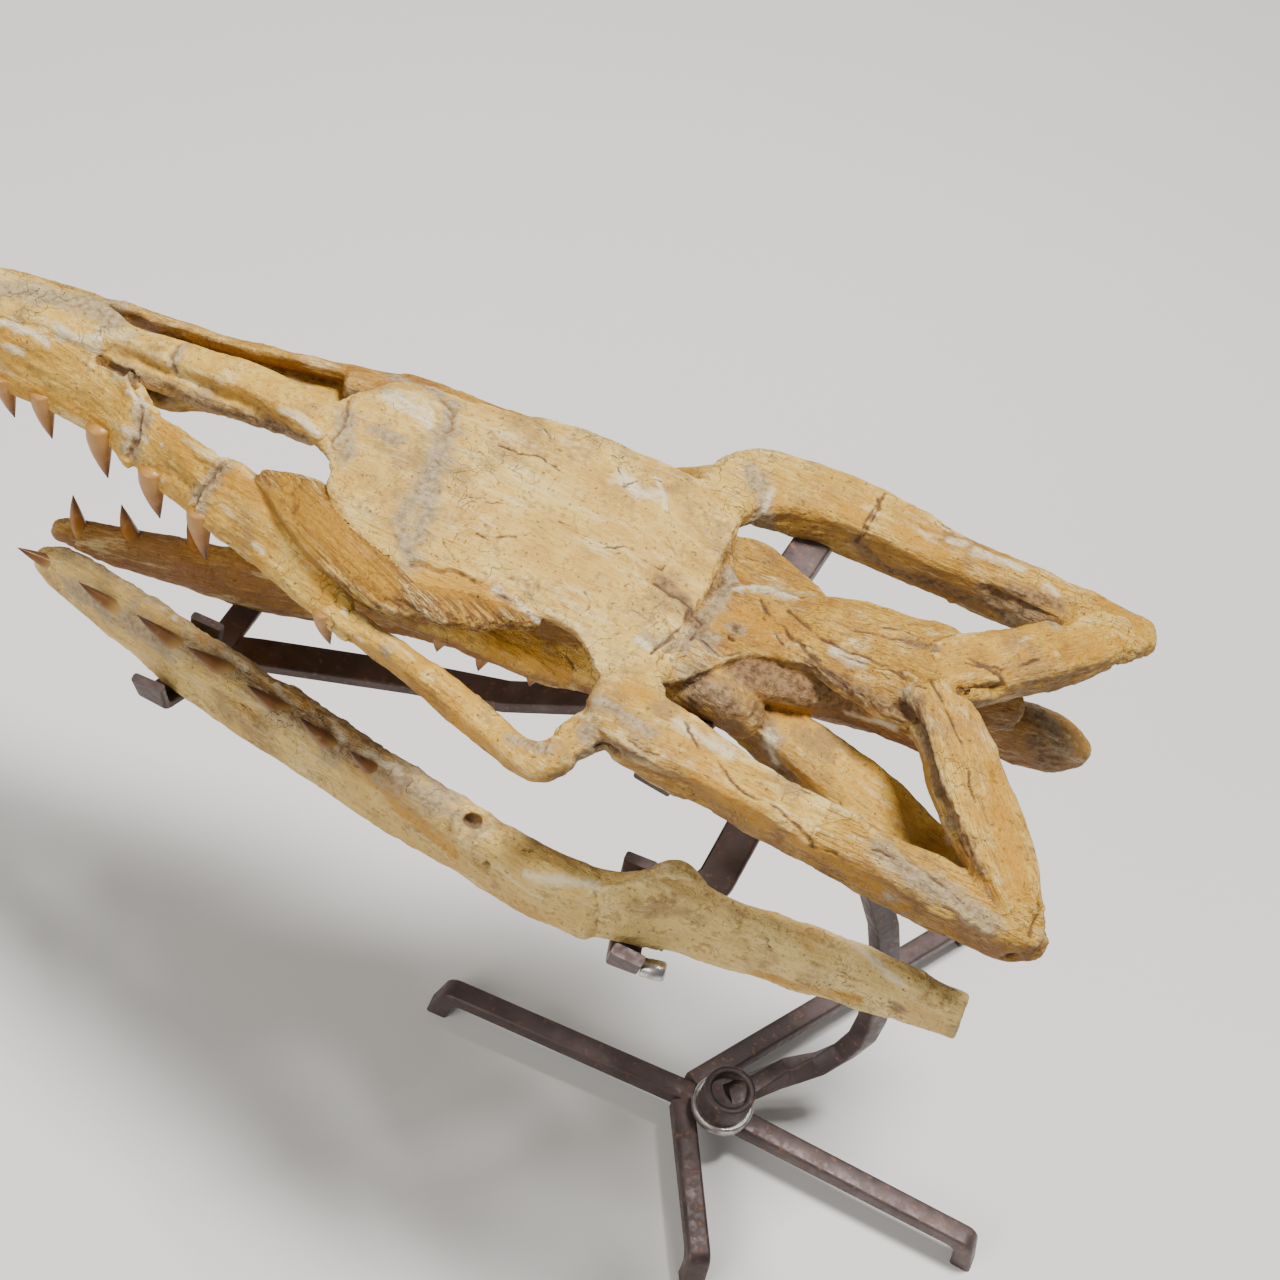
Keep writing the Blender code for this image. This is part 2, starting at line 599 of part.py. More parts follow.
fit_round(front_rest, [front_cradle, spine, dentary_right])
rear_rest = steel_bar("rear_rest", [
    (50, 9, -118), (12, 30, -121), (-14, 44, -121), (-17, 62, -119), (-18, 66, -104),
], 14, 4, (0, 0, 1))
fit_round(rear_rest, [post, postdentary_right, dentary_right])
for carried in (postorbital_left, postorbital_right, pterygoid_left, pterygoid_right):
    fit_round(carried, [crossbar])

# ---------------------------------------------------------------- names and colours
NAMED = [
    (premaxilla, "premaxilla", bone), (maxilla_left, "maxilla_left", bone),
    (maxilla_right, "maxilla_right", bone), (prefrontal_left, "prefrontal_left", bone),
    (prefrontal_right, "prefrontal_right", bone), (frontal, "frontal", pale_bone),
    (parietal, "parietal", bone), (ramus_left, "parietal_ramus_left", bone),
    (ramus_right, "parietal_ramus_right", bone), (postorbital_left, "postorbitofrontal_left", pale_bone),
    (postorbital_right, "postorbitofrontal_right", pale_bone), (squamosal_left, "squamosal_left", bone),
    (squamosal_right, "squamosal_right", bone), (jugal_left, "jugal_left", bone),
    (jugal_right, "jugal_right", bone), (braincase, "braincase", dark_bone),
    (pterygoid_left, "pterygoid_left", bone), (pterygoid_right, "pterygoid_right", bone),
    (dentary_left, "dentary_left", bone), (dentary_right, "dentary_right", dark_bone),
    (postdentary_left, "postdentary_left", bone), (postdentary_right, "postdentary_right", dark_bone),
]
for piece, name, mat in NAMED:
    finish(piece, name, mat)
for piece, name, mat in (
    (leg_front, "stand_leg_front", steel), (leg_rear, "stand_leg_rear", steel),
    (leg_left, "stand_leg_left", steel),
    (leg_right, "stand_leg_right", steel), (socket, "stand_socket", steel),
    (collar, "stand_collar", silver), (post, "stand_post", steel), (crossbar, "stand_crossbar", steel),
    (spine, "stand_spine", steel), (arm, "stand_arm", steel), (rear_cradle, "stand_rear_cradle", steel),
    (front_cradle, "stand_front_cradle", steel), (front_rest, "stand_front_rest", steel),
    (rear_rest, "stand_rear_rest", steel), (bolt, "stand_bolt", silver),
):
    finish(piece, name, mat, smooth=False)

# The object is set with the middle of its footprint at the origin, its feet on the floor.
for piece in parts.objects:
    piece.data.transform(Matrix.Translation(Vector((-CENTRE_X, -CENTRE_Y, ROOF_HEIGHT)) * MM))
for left_over in list(cutters.objects):
    bpy.data.objects.remove(left_over)
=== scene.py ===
# %% [markdown]
# # A mosasaur skull on its stand
# A mosasaur was a sea lizard. This one has a long narrow snout, two round eye
# openings, two long openings for the jaw muscles behind them, and a slim lower jaw
# that hangs under the skull on steel brackets. The solids of the model are loaded
# first. They give every bone its place, and the visible pieces are made around them.

# %% Load the solids
from math import cos, pi, radians, sin

import bmesh
import bpy
import numpy as np
from mathutils import Matrix, Vector
from mathutils.bvhtree import BVHTree


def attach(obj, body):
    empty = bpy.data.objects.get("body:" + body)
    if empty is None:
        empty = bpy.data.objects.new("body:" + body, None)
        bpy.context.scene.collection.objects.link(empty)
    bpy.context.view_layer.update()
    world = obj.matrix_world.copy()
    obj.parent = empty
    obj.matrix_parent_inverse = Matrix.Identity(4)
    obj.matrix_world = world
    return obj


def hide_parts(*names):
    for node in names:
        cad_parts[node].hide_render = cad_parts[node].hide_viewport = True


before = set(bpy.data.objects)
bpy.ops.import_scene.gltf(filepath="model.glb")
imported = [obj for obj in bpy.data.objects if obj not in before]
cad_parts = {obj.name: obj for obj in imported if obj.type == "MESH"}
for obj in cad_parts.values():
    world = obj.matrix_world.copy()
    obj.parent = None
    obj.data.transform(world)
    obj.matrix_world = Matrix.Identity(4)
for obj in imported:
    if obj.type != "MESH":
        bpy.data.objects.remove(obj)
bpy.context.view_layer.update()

MM = 0.001
SHIFT = np.array((103.69, -23.69, 350.0))   # from the skull's own frame to the floor's

# %% [markdown]
# ## The camera
# The skull is seen from above and from its left. A long lens, set by its focal length
# and by three turns, gives the flat perspective of a museum picture. The camera comes
# first, so that each later piece can be looked at as soon as it is made.

# %% Camera
LENS = 60.47
CAMERA_AT = Vector((0.10369, -0.52279, 0.96813))
PITCH, YAW, ROLL = radians(52.543839), radians(7.080296), radians(18.243162)


def camera_axes():
    """The picture's right, its down and its forward."""
    right = Vector((cos(YAW), sin(YAW), 0))
    forward = cos(PITCH) * Vector((-sin(YAW), cos(YAW), 0)) + Vector((0, 0, -sin(PITCH)))
    down = forward.cross(right)
    return cos(ROLL) * right - sin(ROLL) * down, sin(ROLL) * right + cos(ROLL) * down, forward


right, down, forward = camera_axes()
camera_data = bpy.data.cameras.new("camera")
camera_data.lens = LENS
camera_data.sensor_width = 36.0
camera = bpy.data.objects.new("camera", camera_data)
bpy.context.scene.collection.objects.link(camera)
turned_to = Matrix((right, -down, -forward)).transposed().to_4x4()
camera.matrix_world = Matrix.Translation(CAMERA_AT) @ turned_to
bpy.context.scene.camera = camera
print("camera looks along", [round(v, 3) for v in forward])

# %% [markdown]
# ## Shells: closed skins through rows of numbers
# A bone is drawn as a few closed shells that overlap, as a modeller pushes rolls of
# clay together. Each shell goes through rows of numbers, in millimetres, in the
# skull's own frame: X runs back from the snout, Y to the animal's right, Z up.
# A bar is a bone shaft, a plate is an arched roof bone, and a wall is the side of an
# upper jaw. Curves between the rows come from Catmull-Rom steps.

# %% Shell helpers
PER_SPAN = 6       # steps between two rows
AROUND = 32        # points round a shaft
HOOP, HOOP_SIDES = 24, 12       # steps round a ring, and points round its own thickness


def smooth_rows(rows):
    """Rows of numbers with Catmull-Rom rows between them."""
    rows = np.array(rows, float)
    padded = np.vstack([2 * rows[0] - rows[1], rows, 2 * rows[-1] - rows[-2]])
    made = []
    for i in range(len(rows) - 1):
        a, b, c, d = padded[i: i + 4]
        for k in range(PER_SPAN):
            t = k / PER_SPAN
            made.append(0.5 * (2 * b + (c - a) * t + (2 * a - 5 * b + 4 * c - d) * t * t
                               + (3 * b - a - 3 * c + d) * t ** 3))
    made.append(rows[-1])
    return np.array(made)


def unit(v):
    return v / np.maximum(np.linalg.norm(v, axis=-1, keepdims=True), 1e-9)


def skin(rings, round_ends=(True, True)):
    """Points and faces of a closed body through rings of equal count."""
    rings = [np.array(r, float) for r in rings]
    sides = len(rings[0])
    for end, inner in ((0, 1), (-1, -2)):
        if not round_ends[end]:
            continue
        middle = rings[end].mean(axis=0)
        away = unit(middle - rings[inner].mean(axis=0))
        reach = np.linalg.norm(rings[end] - middle, axis=1).min() * 0.6
        outline = rings[end] - middle
        for turn in (30, 55, 75, 86):
            cap = middle + outline * cos(radians(turn)) + away * reach * sin(radians(turn))
            if end == 0:
                rings.insert(0, cap)
            else:
                rings.append(cap)
    faces = []
    for i in range(len(rings) - 1):
        for k in range(sides):
            a, b = i * sides + k, i * sides + (k + 1) % sides
            faces.append((a, b, b + sides, a + sides))
    last = (len(rings) - 1) * sides
    faces.append(tuple(range(sides))[::-1])
    faces.append(tuple(range(last, last + sides)))
    return np.vstack(rings), faces


def superellipse(power, sides=AROUND):
    """Points of a rounded section of half-size 1."""
    angle = 2 * pi * (np.arange(sides) + 0.5) / sides
    c, s = np.cos(angle), np.sin(angle)
    return np.stack([np.sign(c) * abs(c) ** (2 / power),
                     np.sign(s) * abs(s) ** (2 / power)], axis=1)


def bar(rows, power=2.5, ends=(True, True)):
    """A bone shaft. Each row holds x, y, z, half width, half height and roll in degrees."""
    path = smooth_rows([tuple(r) + (0.0,) * (6 - len(r)) for r in rows])
    shape, rings = superellipse(power), []
    for i, (x, y, z, wide, high, roll) in enumerate(path):
        before, after = path[max(i - 1, 0), :3], path[min(i + 1, len(path) - 1), :3]
        along = Vector(after - before).normalized()
        side = Vector((0, 0, 1)).cross(along).normalized()
        turn = Matrix.Rotation(radians(roll), 3, along)
        side, up = np.array(turn @ side), np.array(turn @ along.cross(side))
        rings.append(np.array((x, y, z)) + np.outer(shape[:, 0] * wide, side)
                     + np.outer(shape[:, 1] * high, up))
    return skin(rings, ends)


def plate(rows, across=40, arch=2.2, edge=0.45):
    """An arched plate. Each row holds x, left y, right y, left z, middle z, right z, depth."""
    u = np.linspace(-1, 1, across + 1)
    rings = []
    for x, left, right, z_left, z_mid, z_right, depth in smooth_rows(rows):
        side_z = np.where(u < 0, z_left, z_right)
        y = left + (right - left) * (u + 1) / 2
        z = z_mid + (side_z - z_mid) * abs(u) ** arch
        thick = depth * (1 - (1 - edge) * abs(u) ** 4)
        top = np.stack([np.full_like(u, x), y, z], axis=1)
        under = np.stack([np.full_like(u, x), y, z - thick], axis=1)
        rings.append(np.vstack([top, under[::-1]]))
    return skin(rings, (False, False))


def wall(rows, power=3.0):
    """A jaw wall. Each row holds its top edge, its tooth edge and its thickness."""
    path, shape, rings = smooth_rows(rows), superellipse(power), []
    for i, row in enumerate(path):
        top, low, thick = row[:3], row[3:6], row[6]
        before, after = path[max(i - 1, 0)], path[min(i + 1, len(path) - 1)]
        along = unit((after[:3] + after[3:6]) - (before[:3] + before[3:6]))
        side = unit(np.cross(along, top - low))
        rings.append((top + low) / 2 + np.outer(shape[:, 1], (top - low) / 2)
                     + np.outer(shape[:, 0] * thick / 2, side))
    return skin(rings)


def lump(place, size, turn=0.0):
    """A rounded lump of the given half sizes, turned about the upright axis."""
    u = np.linspace(-1, 1, 15)[1:-1]
    c, s = cos(radians(turn)), sin(radians(turn))
    rings = []
    for t in u:
        ring = superellipse(2.0, 16) * (1 - t * t) ** 0.5
        x, y, z = np.full(16, t) * size[0], ring[:, 0] * size[1], ring[:, 1] * size[2]
        rings.append(np.stack([place[0] + x * c - y * s, place[1] + x * s + y * c, place[2] + z],
                              axis=1))
    return skin(rings, (False, False))


def hoop(place, facing, radius, thick):
    """A raised ring, such as the rim of a tooth socket."""
    facing = Vector(facing).normalized()
    one = facing.orthogonal().normalized()
    two = facing.cross(one)
    rings = []
    for k in range(HOOP):
        out = cos(2 * pi * k / HOOP) * one + sin(2 * pi * k / HOOP) * two
        middle = Vector(place) + radius * out
        rings.append([middle + thick * (cos(a) * out + sin(a) * facing)
                      for a in np.linspace(0, 2 * pi, HOOP_SIDES, False)])
    points = np.array(rings).reshape(-1, 3)
    faces = []
    for i in range(HOOP):
        here, there = i * HOOP_SIDES, (i + 1) % HOOP * HOOP_SIDES
        for k in range(HOOP_SIDES):
            after = (k + 1) % HOOP_SIDES
            faces.append((here + k, here + after, there + after, there + k))
    return points, faces


print("shell helpers: shafts of", AROUND, "points round,", PER_SPAN, "steps a row")

# %% [markdown]
# ## The skull's bones, as rows of numbers
# The roof is a broad frontal plate, then a narrow parietal that forks into two rami.
# The snout is a thin bar of premaxilla between two long nostril slots, with a maxilla
# on each side. Behind each orbit a postorbitofrontal and a squamosal make a long
# arcade. The palate and the braincase show only through the openings.

# %% Rows of the snout and the roof
FRONTAL = [
    (-203, -4, 13, 1, 5, 2, 6), (-196, -9, 26, 1, 6, 1, 7), (-190, -15, 36, 1, 7, 0, 7),
    (-184, -26, 40, -1, 7, 0, 7),
    (-172, -33, 43, -2, 8, 0, 8), (-155, -38, 44, -3, 8, 0, 8), (-137, -43, 49, -4, 7, 0, 8),
    (-115, -41, 54, -4, 6, 0, 8), (-95, -34, 56, -3, 5, -1, 8), (-80, -36, 56, -3, 4, -2, 8),
    (-68, -46, 57, -4, 2, -3, 8), (-56, -50, 58, -6, 0, -5, 8), (-45, -44, 52, -7, -1, -7, 8),
]
PARIETAL = [
    (-46, -38, 40, -7, -2, -8, 9), (-36, -30, 21, -6, -4, -6, 9), (-26, -16, 23, -5, -5, -6, 10),
    (-17, -9, 25, -5, -4, -5, 10), (-8, -7, 27, -4, -1, -3, 10), (2, -6, 30, -3, 2, -2, 11),
    (12, -9, 32, -2, 3, -1, 11), (27, -12, 34, -1, 6, -1, 11), (42, -14, 36, 0, 8, 1, 11),
    (55, -10, 31, 1, 8, 1, 10),
]
WING = [(-52, 12, 40, -10, -9, -11, 6), (-40, 12, 47, -11, -10.5, -12, 6),
        (-30, 12, 48, -11, -10.5, -12, 6), (-18, 12, 43, -11, -10.5, -12, 6),
        (-6, 12, 36, -10.5, -9.5, -10.5, 6), (4, 12, 28, -8, -7, -8, 6)]
PREMAXILLA = [
    (-395, 4, -23, 5, 7), (-384, 5, -20, 9, 10), (-366, 6, -18, 11, 10), (-346, 8, -16, 12, 9),
    (-326, 9.5, -14, 12.5, 8), (-309, 10, -12, 12, 7), (-297, 9, -11, 10.5, 6.5),
    (-286, 8.5, -8, 6.5, 5),
    (-264, 8, -4, 6.5, 5), (-242, 7.5, 0, 7, 5), (-220, 6, 2, 8.5, 5), (-199, 3, 2, 10.5, 4.5),
]
PREFRONTAL_LEFT = [
    (-212, -24, -10, 4, 4, 14), (-197, -27.5, -8.5, 9.5, 4.5, 18), (-177, -35, -9, 12.5, 4.8, 18),
    (-157, -42.5, -10, 11.8, 5, 16), (-143, -45.5, -11, 9.5, 5, 12), (-132, -47, -12, 6, 4, 8),
]
ORBITAL_LOBE = [(-143, -46, -10, 5, 4.5), (-132, -45.5, -8.5, 8, 5, 6),
                (-118, -42, -7.5, 8, 4.8, 6), (-106, -37, -7, 6, 4, 6), (-96, -34, -8, 4, 4)]
MATRIX_BAR = [(-291, 4, -12, 6, 3), (-272, 4, -11, 7.5, 4), (-250, 3.5, -9, 8, 4.5),
              (-230, 3.5, -7, 8, 4.5), (-204, 4, -5, 8, 4)]
PALATE = [(-300, 11, -25, 10, 5), (-280, 12, -24, 17, 4), (-255, 16, -21, 14, 4),
          (-225, 22, -19, 13, 4), (-200, 26, -17, 14, 4), (-185, 26, -16, 14, 4)]
PREFRONTAL_RIGHT = [
    (-205, 34, -7, 6, 5, -14), (-190, 39, -8, 9, 6, -18), (-172, 43, -10, 11, 7, -22),
    (-155, 45, -11, 10, 7, -20), (-138, 48, -11, 8, 6, -12), (-120, 50, -10, 5, 4.5, 0),
]
MAXILLA_LEFT = [
    (-382, 0, -14, -382, -7, -33, 9), (-356, -1, -12, -356, -11, -38, 10),
    (-330, -1, -11, -330, -12, -40, 10), (-305, -1, -12, -303, -13, -39, 9),
    (-283, -3, -12, -279, -20, -37, 8), (-271, -9, -11, -267, -26, -37, 9),
]
MAXILLA_MIDDLE = [
    (-270, -11, -13, -265, -25, -35.5, 6.5), (-262, -14, -12, -257, -28, -35.5, 7.5),
    (-245, -19, -10, -238, -33, -35, 8), (-234, -21, -9.5, -228, -39, -35, 8),
]
MAXILLA_REAR = [
    (-232, -22, -10.5, -226, -39, -33, 6.5), (-223, -22, -9, -212, -43, -33, 8),
    (-203, -28, -11, -190, -50, -32, 8), (-182, -40, -15, -172, -57, -31, 7),
    (-162, -50, -21, -157, -61, -30, 6),
]
MAXILLA_RIGHT = [
    (-382, 8, -14, -382, 17, -33, 7.6), (-356, 14, -12, -356, 27, -37, 8.5),
    (-330, 20, -11, -330, 33, -39, 8.5), (-302, 25, -10, -301, 38, -38, 7.6),
    (-277, 27, -9, -277, 41, -37, 6.8), (-251, 28, -6, -249, 45, -36, 6.8),
    (-227, 32, -4, -222, 51, -34, 6.8), (-206, 37, -5, -198, 56, -33, 6.8),
    (-186, 46, -9, -178, 61, -31, 6), (-164, 54, -15, -161, 66, -29, 5.1),
]
print("roof and snout rows:", len(FRONTAL) + len(PARIETAL) + len(PREMAXILLA))

# %% The skull as overlapping shells, bone by bone
skull_shells = {
    "frontal": [plate(FRONTAL)],
    "parietal": [plate(PARIETAL), plate(WING, arch=4, edge=0.7)],
    "parietal_ramus_left": [bar([
        (46, -1, 2, 11, 8), (60, -14, 0, 12, 9), (72, -28, -3, 12.5, 9),
        (84, -42, -6, 12.5, 9), (95, -54, -9, 12, 9), (103, -63, -12, 9, 8)], 4.5),
        bar([(52, -14, -5, 4, 4), (64, -28, -8, 5.5, 4.5), (76, -42, -11, 5.5, 4.5),
             (90, -56, -13, 4, 4)], 3.5)],
    "parietal_ramus_right": [bar([
        (46, 11, 2, 12, 8), (58, 21, 0, 13, 9), (70, 33, -2, 13, 9),
        (82, 46, -5, 12.5, 9), (93, 60, -8, 12, 9), (101, 69, -10, 10, 8)], 3.5)],
    "premaxilla": [bar(PREMAXILLA, 3.0), bar(MATRIX_BAR, 3.0), bar(PALATE, 3.0)],
    "prefrontal_left": [bar(PREFRONTAL_LEFT, 3.5), bar(ORBITAL_LOBE, 3.0)],
    "prefrontal_right": [bar(PREFRONTAL_RIGHT)],
    "maxilla_left": [wall(MAXILLA_LEFT), wall(MAXILLA_MIDDLE), wall(MAXILLA_REAR)],
    "maxilla_right": [wall(MAXILLA_RIGHT)],
    "postorbitofrontal_left": [
        bar([(-54, -44, -8, 12, 6), (-51, -56, -9, 14, 7), (-34, -58.5, -11, 13.5, 9.5),
             (-16, -61, -12, 11, 10), (4, -64, -13.5, 9.5, 10.5), (26, -65, -15, 9.5, 11)], 4.0),
        bar([(-50, -50, -9, 9, 6), (-58, -62, -12, 8, 6), (-66, -73, -16, 7, 6)])],
    "postorbitofrontal_right": [
        bar([(-56, 54, -8, 12, 6), (-50, 67, -10, 15, 8), (-35, 76, -12, 15, 10),
             (-15, 80, -14, 13.5, 11.5), (5, 80, -15, 12.5, 12), (26, 80, -16, 11.5, 12)], 4.0),
        bar([(-50, 62, -10, 9, 6), (-58, 70, -16, 7.5, 6), (-67, 72, -22, 6.5, 6)])],
    "squamosal_left": [bar([
        (20, -65, -14.5, 9, 10.5), (45, -65.5, -16, 9.5, 11), (67, -66, -17, 10.5, 11),
        (88, -67, -17, 10.5, 11), (102, -67.5, -17, 10.5, 10), (112, -68, -15, 7, 8)], 4.0),
        lump((103, -63, -11), (10, 11, 8))],
    "squamosal_right": [bar([
        (20, 80, -16, 11, 11.5), (45, 79, -16, 10.5, 12), (62, 78, -15, 10.5, 11),
        (80, 77, -14, 12, 10), (98, 77.5, -12, 10.5, 9), (111, 78, -10, 7, 7)], 4.0),
        bar([(88, 70, -9, 12, 7), (104, 74, -9, 12, 7), (112, 77, -9, 9.5, 6),
             (117, 79, -9, 7, 5)], 3.0)],
    "jugal_left": [bar([
        (-168, -55, -27, 4, 6), (-148, -58, -28, 5, 6.5), (-130, -62, -28, 6, 6.5),
        (-112, -67, -28, 6.5, 6), (-95, -73.5, -27, 6.2, 6), (-81, -80, -24, 6.2, 6),
        (-72, -82, -20, 7, 6.5), (-66, -77, -16, 6.5, 6)])],
    "jugal_right": [bar([
        (-170, 60, -27, 4, 6), (-148, 61, -29, 5, 6), (-130, 63, -31, 5.5, 6),
        (-112, 66, -32, 5.5, 6), (-95, 69, -32, 5.5, 6), (-81, 72, -30, 6, 6),
        (-72, 73, -26, 6.5, 6), (-67, 73, -22, 6, 5)])],
    "braincase": [
        bar([(-38, 2, -12, 15, 5.5), (-22, -0.5, -14, 19.5, 7), (-6, 1.5, -17, 19.5, 8.5),
             (15, 8, -21, 15, 11), (38, 9, -21, 15, 12), (54, 9, -20, 14, 11)]),
        bar([(46, 10, -27, 8, 7), (62, 10, -28, 7.5, 6.5), (70, 10, -28, 7, 6)])],
    "pterygoid_left": [bar([
        (-172, -40, -32, 6, 4), (-145, -34, -33, 9, 5), (-115, -31, -34, 9.5, 6),
        (-85, -29, -33, 8.5, 7), (-58, -27, -28, 8, 7.5), (-38, -25, -21, 9.5, 9),
        (-24, -24, -19, 11, 10.5), (-12, -23, -25, 8, 8)]),
        bar([(-24, -21, -27, 6, 7, 0), (-10, -19, -30, 8, 8.5, 0), (6, -20, -33, 10, 10, 2),
             (26, -24, -37, 12.5, 10.5, 4), (46, -29, -41, 13.5, 10.5, 5),
             (66, -34, -44, 12.5, 9.5, 6), (84, -39, -45, 9, 7, 6), (93, -41, -45, 5, 4, 6)], 7.0),
        lump((-34, -22, -17), (9, 8, 8), 20), lump((-22, -17, -19), (7, 7, 7), -20)],
    "pterygoid_right": [bar([
        (-172, 46, -34, 6, 4), (-145, 40, -36, 8, 5), (-115, 37, -36, 8.5, 5),
        (-85, 36, -34, 8, 5.5), (-58, 34, -28, 7.5, 6), (-38, 31, -22, 7.5, 6),
        (-10, 30, -25, 7, 6), (6, 32, -34, 6, 8),
        (26, 36, -43, 6, 13, -10), (46, 40, -45, 5, 14, -14), (66, 44, -46, 4.5, 13, -14),
        (84, 48, -46, 4, 10, -10)])],
}
print("skull bones:", len(skull_shells))

# %% The two halves of the lower jaw
jaw_shells = {
    "dentary_left": [bar([
        (-305, -28, -114, 4.5, 6), (-297, -29, -115, 6.5, 9), (-280, -32, -116, 8.2, 12),
        (-255, -37, -116.5, 9.2, 14), (-230, -44, -116, 10, 15.2), (-205, -49, -115, 10.5, 16),
        (-175, -56, -113, 10.5, 16), (-145, -62, -110, 10.5, 16), (-120, -68, -107.5, 10.5, 16),
        (-90, -74, -104, 10, 16.5), (-62, -79.5, -100, 9.5, 18), (-37, -80.5, -97, 9, 19)], 3.2),
        hoop((-92, -75.5, -88.5), (0.1, -0.55, 0.8), 5.2, 2.3)],
    "postdentary_left": [
        bar([(-45, -80, -97, 8, 16), (-28, -78, -95, 8.5, 19.5), (-13, -73.5, -92, 7.5, 23.5),
             (2, -71.5, -92, 7, 21.5), (20, -70.5, -91, 7, 20), (40, -69, -89, 7, 19),
             (62, -68, -87, 6.5, 18), (78, -67.5, -85, 6.2, 17), (84, -67.5, -84.5, 6, 15.5),
             (88, -67.5, -85, 5.6, 13.5), (107, -68, -82.5, 5.6, 13)],
            3.2, (True, False)),
        bar([(-22, -73, -77, 3, 6), (-12, -70, -70, 3.5, 6), (0, -70.5, -76, 3, 6)])],
    "dentary_right": [bar([
        (-308, -12, -115, 4, 5.5), (-299, -10, -115.5, 5.2, 7.5), (-280, -6, -116.5, 6, 10),
        (-252, 0, -117, 7.2, 13.5), (-222, 7, -115.5, 8.1, 16), (-190, 15, -113, 8.5, 17),
        (-155, 23, -110, 8.5, 17), (-120, 31, -107, 8.5, 17.5), (-90, 38, -104, 8.1, 18),
        (-58, 45, -101, 7.6, 18.5), (-37, 49, -99, 7.2, 19)])],
    "postdentary_right": [bar([
        (-44, 48, -99, 6.8, 17), (-26, 52, -98, 7.2, 20), (-8, 56, -97, 6.8, 21),
        (14, 60, -96, 6.4, 19.5), (40, 65, -94, 6.8, 17.5), (64, 70, -91, 7.6, 15),
        (84, 73, -89, 9, 15), (100, 75, -88, 9.5, 16.5), (112, 76, -88, 9, 14),
        (120, 77, -88, 5, 8)])],
}
print("jaw bones:", len(jaw_shells))

# %% [markdown]
# ## Melting the shells together
# Shells that only pass through each other look like plumbing. A voxel remesh turns
# them into one even skin, and a little smoothing gives each joint a soft fillet, as
# bone and museum plaster have. Sculpting by hand would do the same, more slowly.

# %% Melt
VOXEL = 0.7


def plain_mesh(name, points, faces):
    """A mesh in metres, on the floor's frame, from points in the skull's frame."""
    mesh = bpy.data.meshes.new(name)
    mesh.from_pydata(((np.array(points) + SHIFT) * MM).tolist(), [], faces)
    return mesh


def melt(shells, smoothing):
    """Points, quads and the bone of each point, for the union of the shells."""
    names, points, faces, owner, start = list(shells), [], [], [], 0
    for index, name in enumerate(names):
        for shell_points, shell_faces in shells[name]:
            points.append(shell_points)
            faces += [tuple(c + start for c in f) for f in shell_faces]
            owner += [index] * len(shell_faces)
            start += len(shell_points)
    points = np.vstack(points)
    mass = bpy.data.objects.new("mass", plain_mesh("mass", points, faces))
    bpy.context.scene.collection.objects.link(mass)
    remesh = mass.modifiers.new("melt", "REMESH")
    remesh.mode = "VOXEL"
    remesh.voxel_size = VOXEL * MM
    mesh = mass.evaluated_get(bpy.context.evaluated_depsgraph_get()).to_mesh()
    melted = np.empty(len(mesh.vertices) * 3)
    mesh.vertices.foreach_get("co", melted)
    melted = melted.reshape(-1, 3) / MM - SHIFT
    quads = np.empty(len(mesh.loops), np.int64)
    mesh.loops.foreach_get("vertex_index", quads)
    quads = quads.reshape(-1, 4)
    bpy.data.objects.remove(mass)
    tree = BVHTree.FromPolygons(points.tolist(), faces)
    bone = np.array([owner[tree.find_nearest(p)[2]] for p in melted.tolist()])
    for _ in range(smoothing):
        melted = melted + 0.6 * (neighbour_mean(melted, quads) - melted)
    return names, melted, quads, bone


def neighbour_mean(values, quads):
    """For each point, the mean of the points that share a quad's edge with it."""
    count = len(values)
    one, two = quads.ravel(), np.roll(quads, -1, axis=1).ravel()
    total = np.empty((count, values.shape[1]))
    share = np.bincount(one, minlength=count) + np.bincount(two, minlength=count)
    for k in range(values.shape[1]):
        total[:, k] = (np.bincount(one, values[two, k], count)
                       + np.bincount(two, values[one, k], count))
    return total / share[:, None]


skull_names, skull_points, skull_quads, skull_bone = melt(skull_shells, 8)
jaw_names, jaw_points, jaw_quads, jaw_bone = melt(jaw_shells, 6)
print("melted skull:", len(skull_quads), "quads; jaws:", len(jaw_quads), "quads")

# %% [markdown]
# ## Weathering the surface
# Fossil bone is never smooth: it has broad dents, small lumps, fine grain along each
# bone, and pits. Layers of noise push every point in or out along its normal. The
# noise is a lattice of random slopes, blended smoothly, in lumps of a chosen size.

# %% Noise and normals
SLOPES = unit(np.random.default_rng(7).normal(size=(4096, 3)))
CORNERS = ((0, 0, 0), (1, 0, 0), (0, 1, 0), (1, 1, 0), (0, 0, 1), (1, 0, 1), (0, 1, 1), (1, 1, 1))
PRIMES = (73856093, 19349663, 83492791)     # they scatter the lattice over the slopes
NOISE_GAIN = 1.6                            # brings the blended slopes up to about -1 to 1


def noise(points, size, seed=0):
    """Smooth noise, about -1 to 1, in lumps of the given size in mm."""
    p = points / size + seed * 17.31
    cell = np.floor(p).astype(np.int64)
    part = p - cell
    fade = part * part * part * (part * (part * 6 - 15) + 10)
    total = np.zeros(len(points))
    for corner in CORNERS:
        at = cell + corner
        pick = at[:, 0] * PRIMES[0] ^ at[:, 1] * PRIMES[1] ^ at[:, 2] * PRIMES[2]
        pick &= len(SLOPES) - 1
        weight = np.prod(np.where(np.array(corner) == 1, fade, 1 - fade), axis=1)
        total += weight * np.einsum("ij,ij->i", SLOPES[pick], part - corner)
    return total * NOISE_GAIN


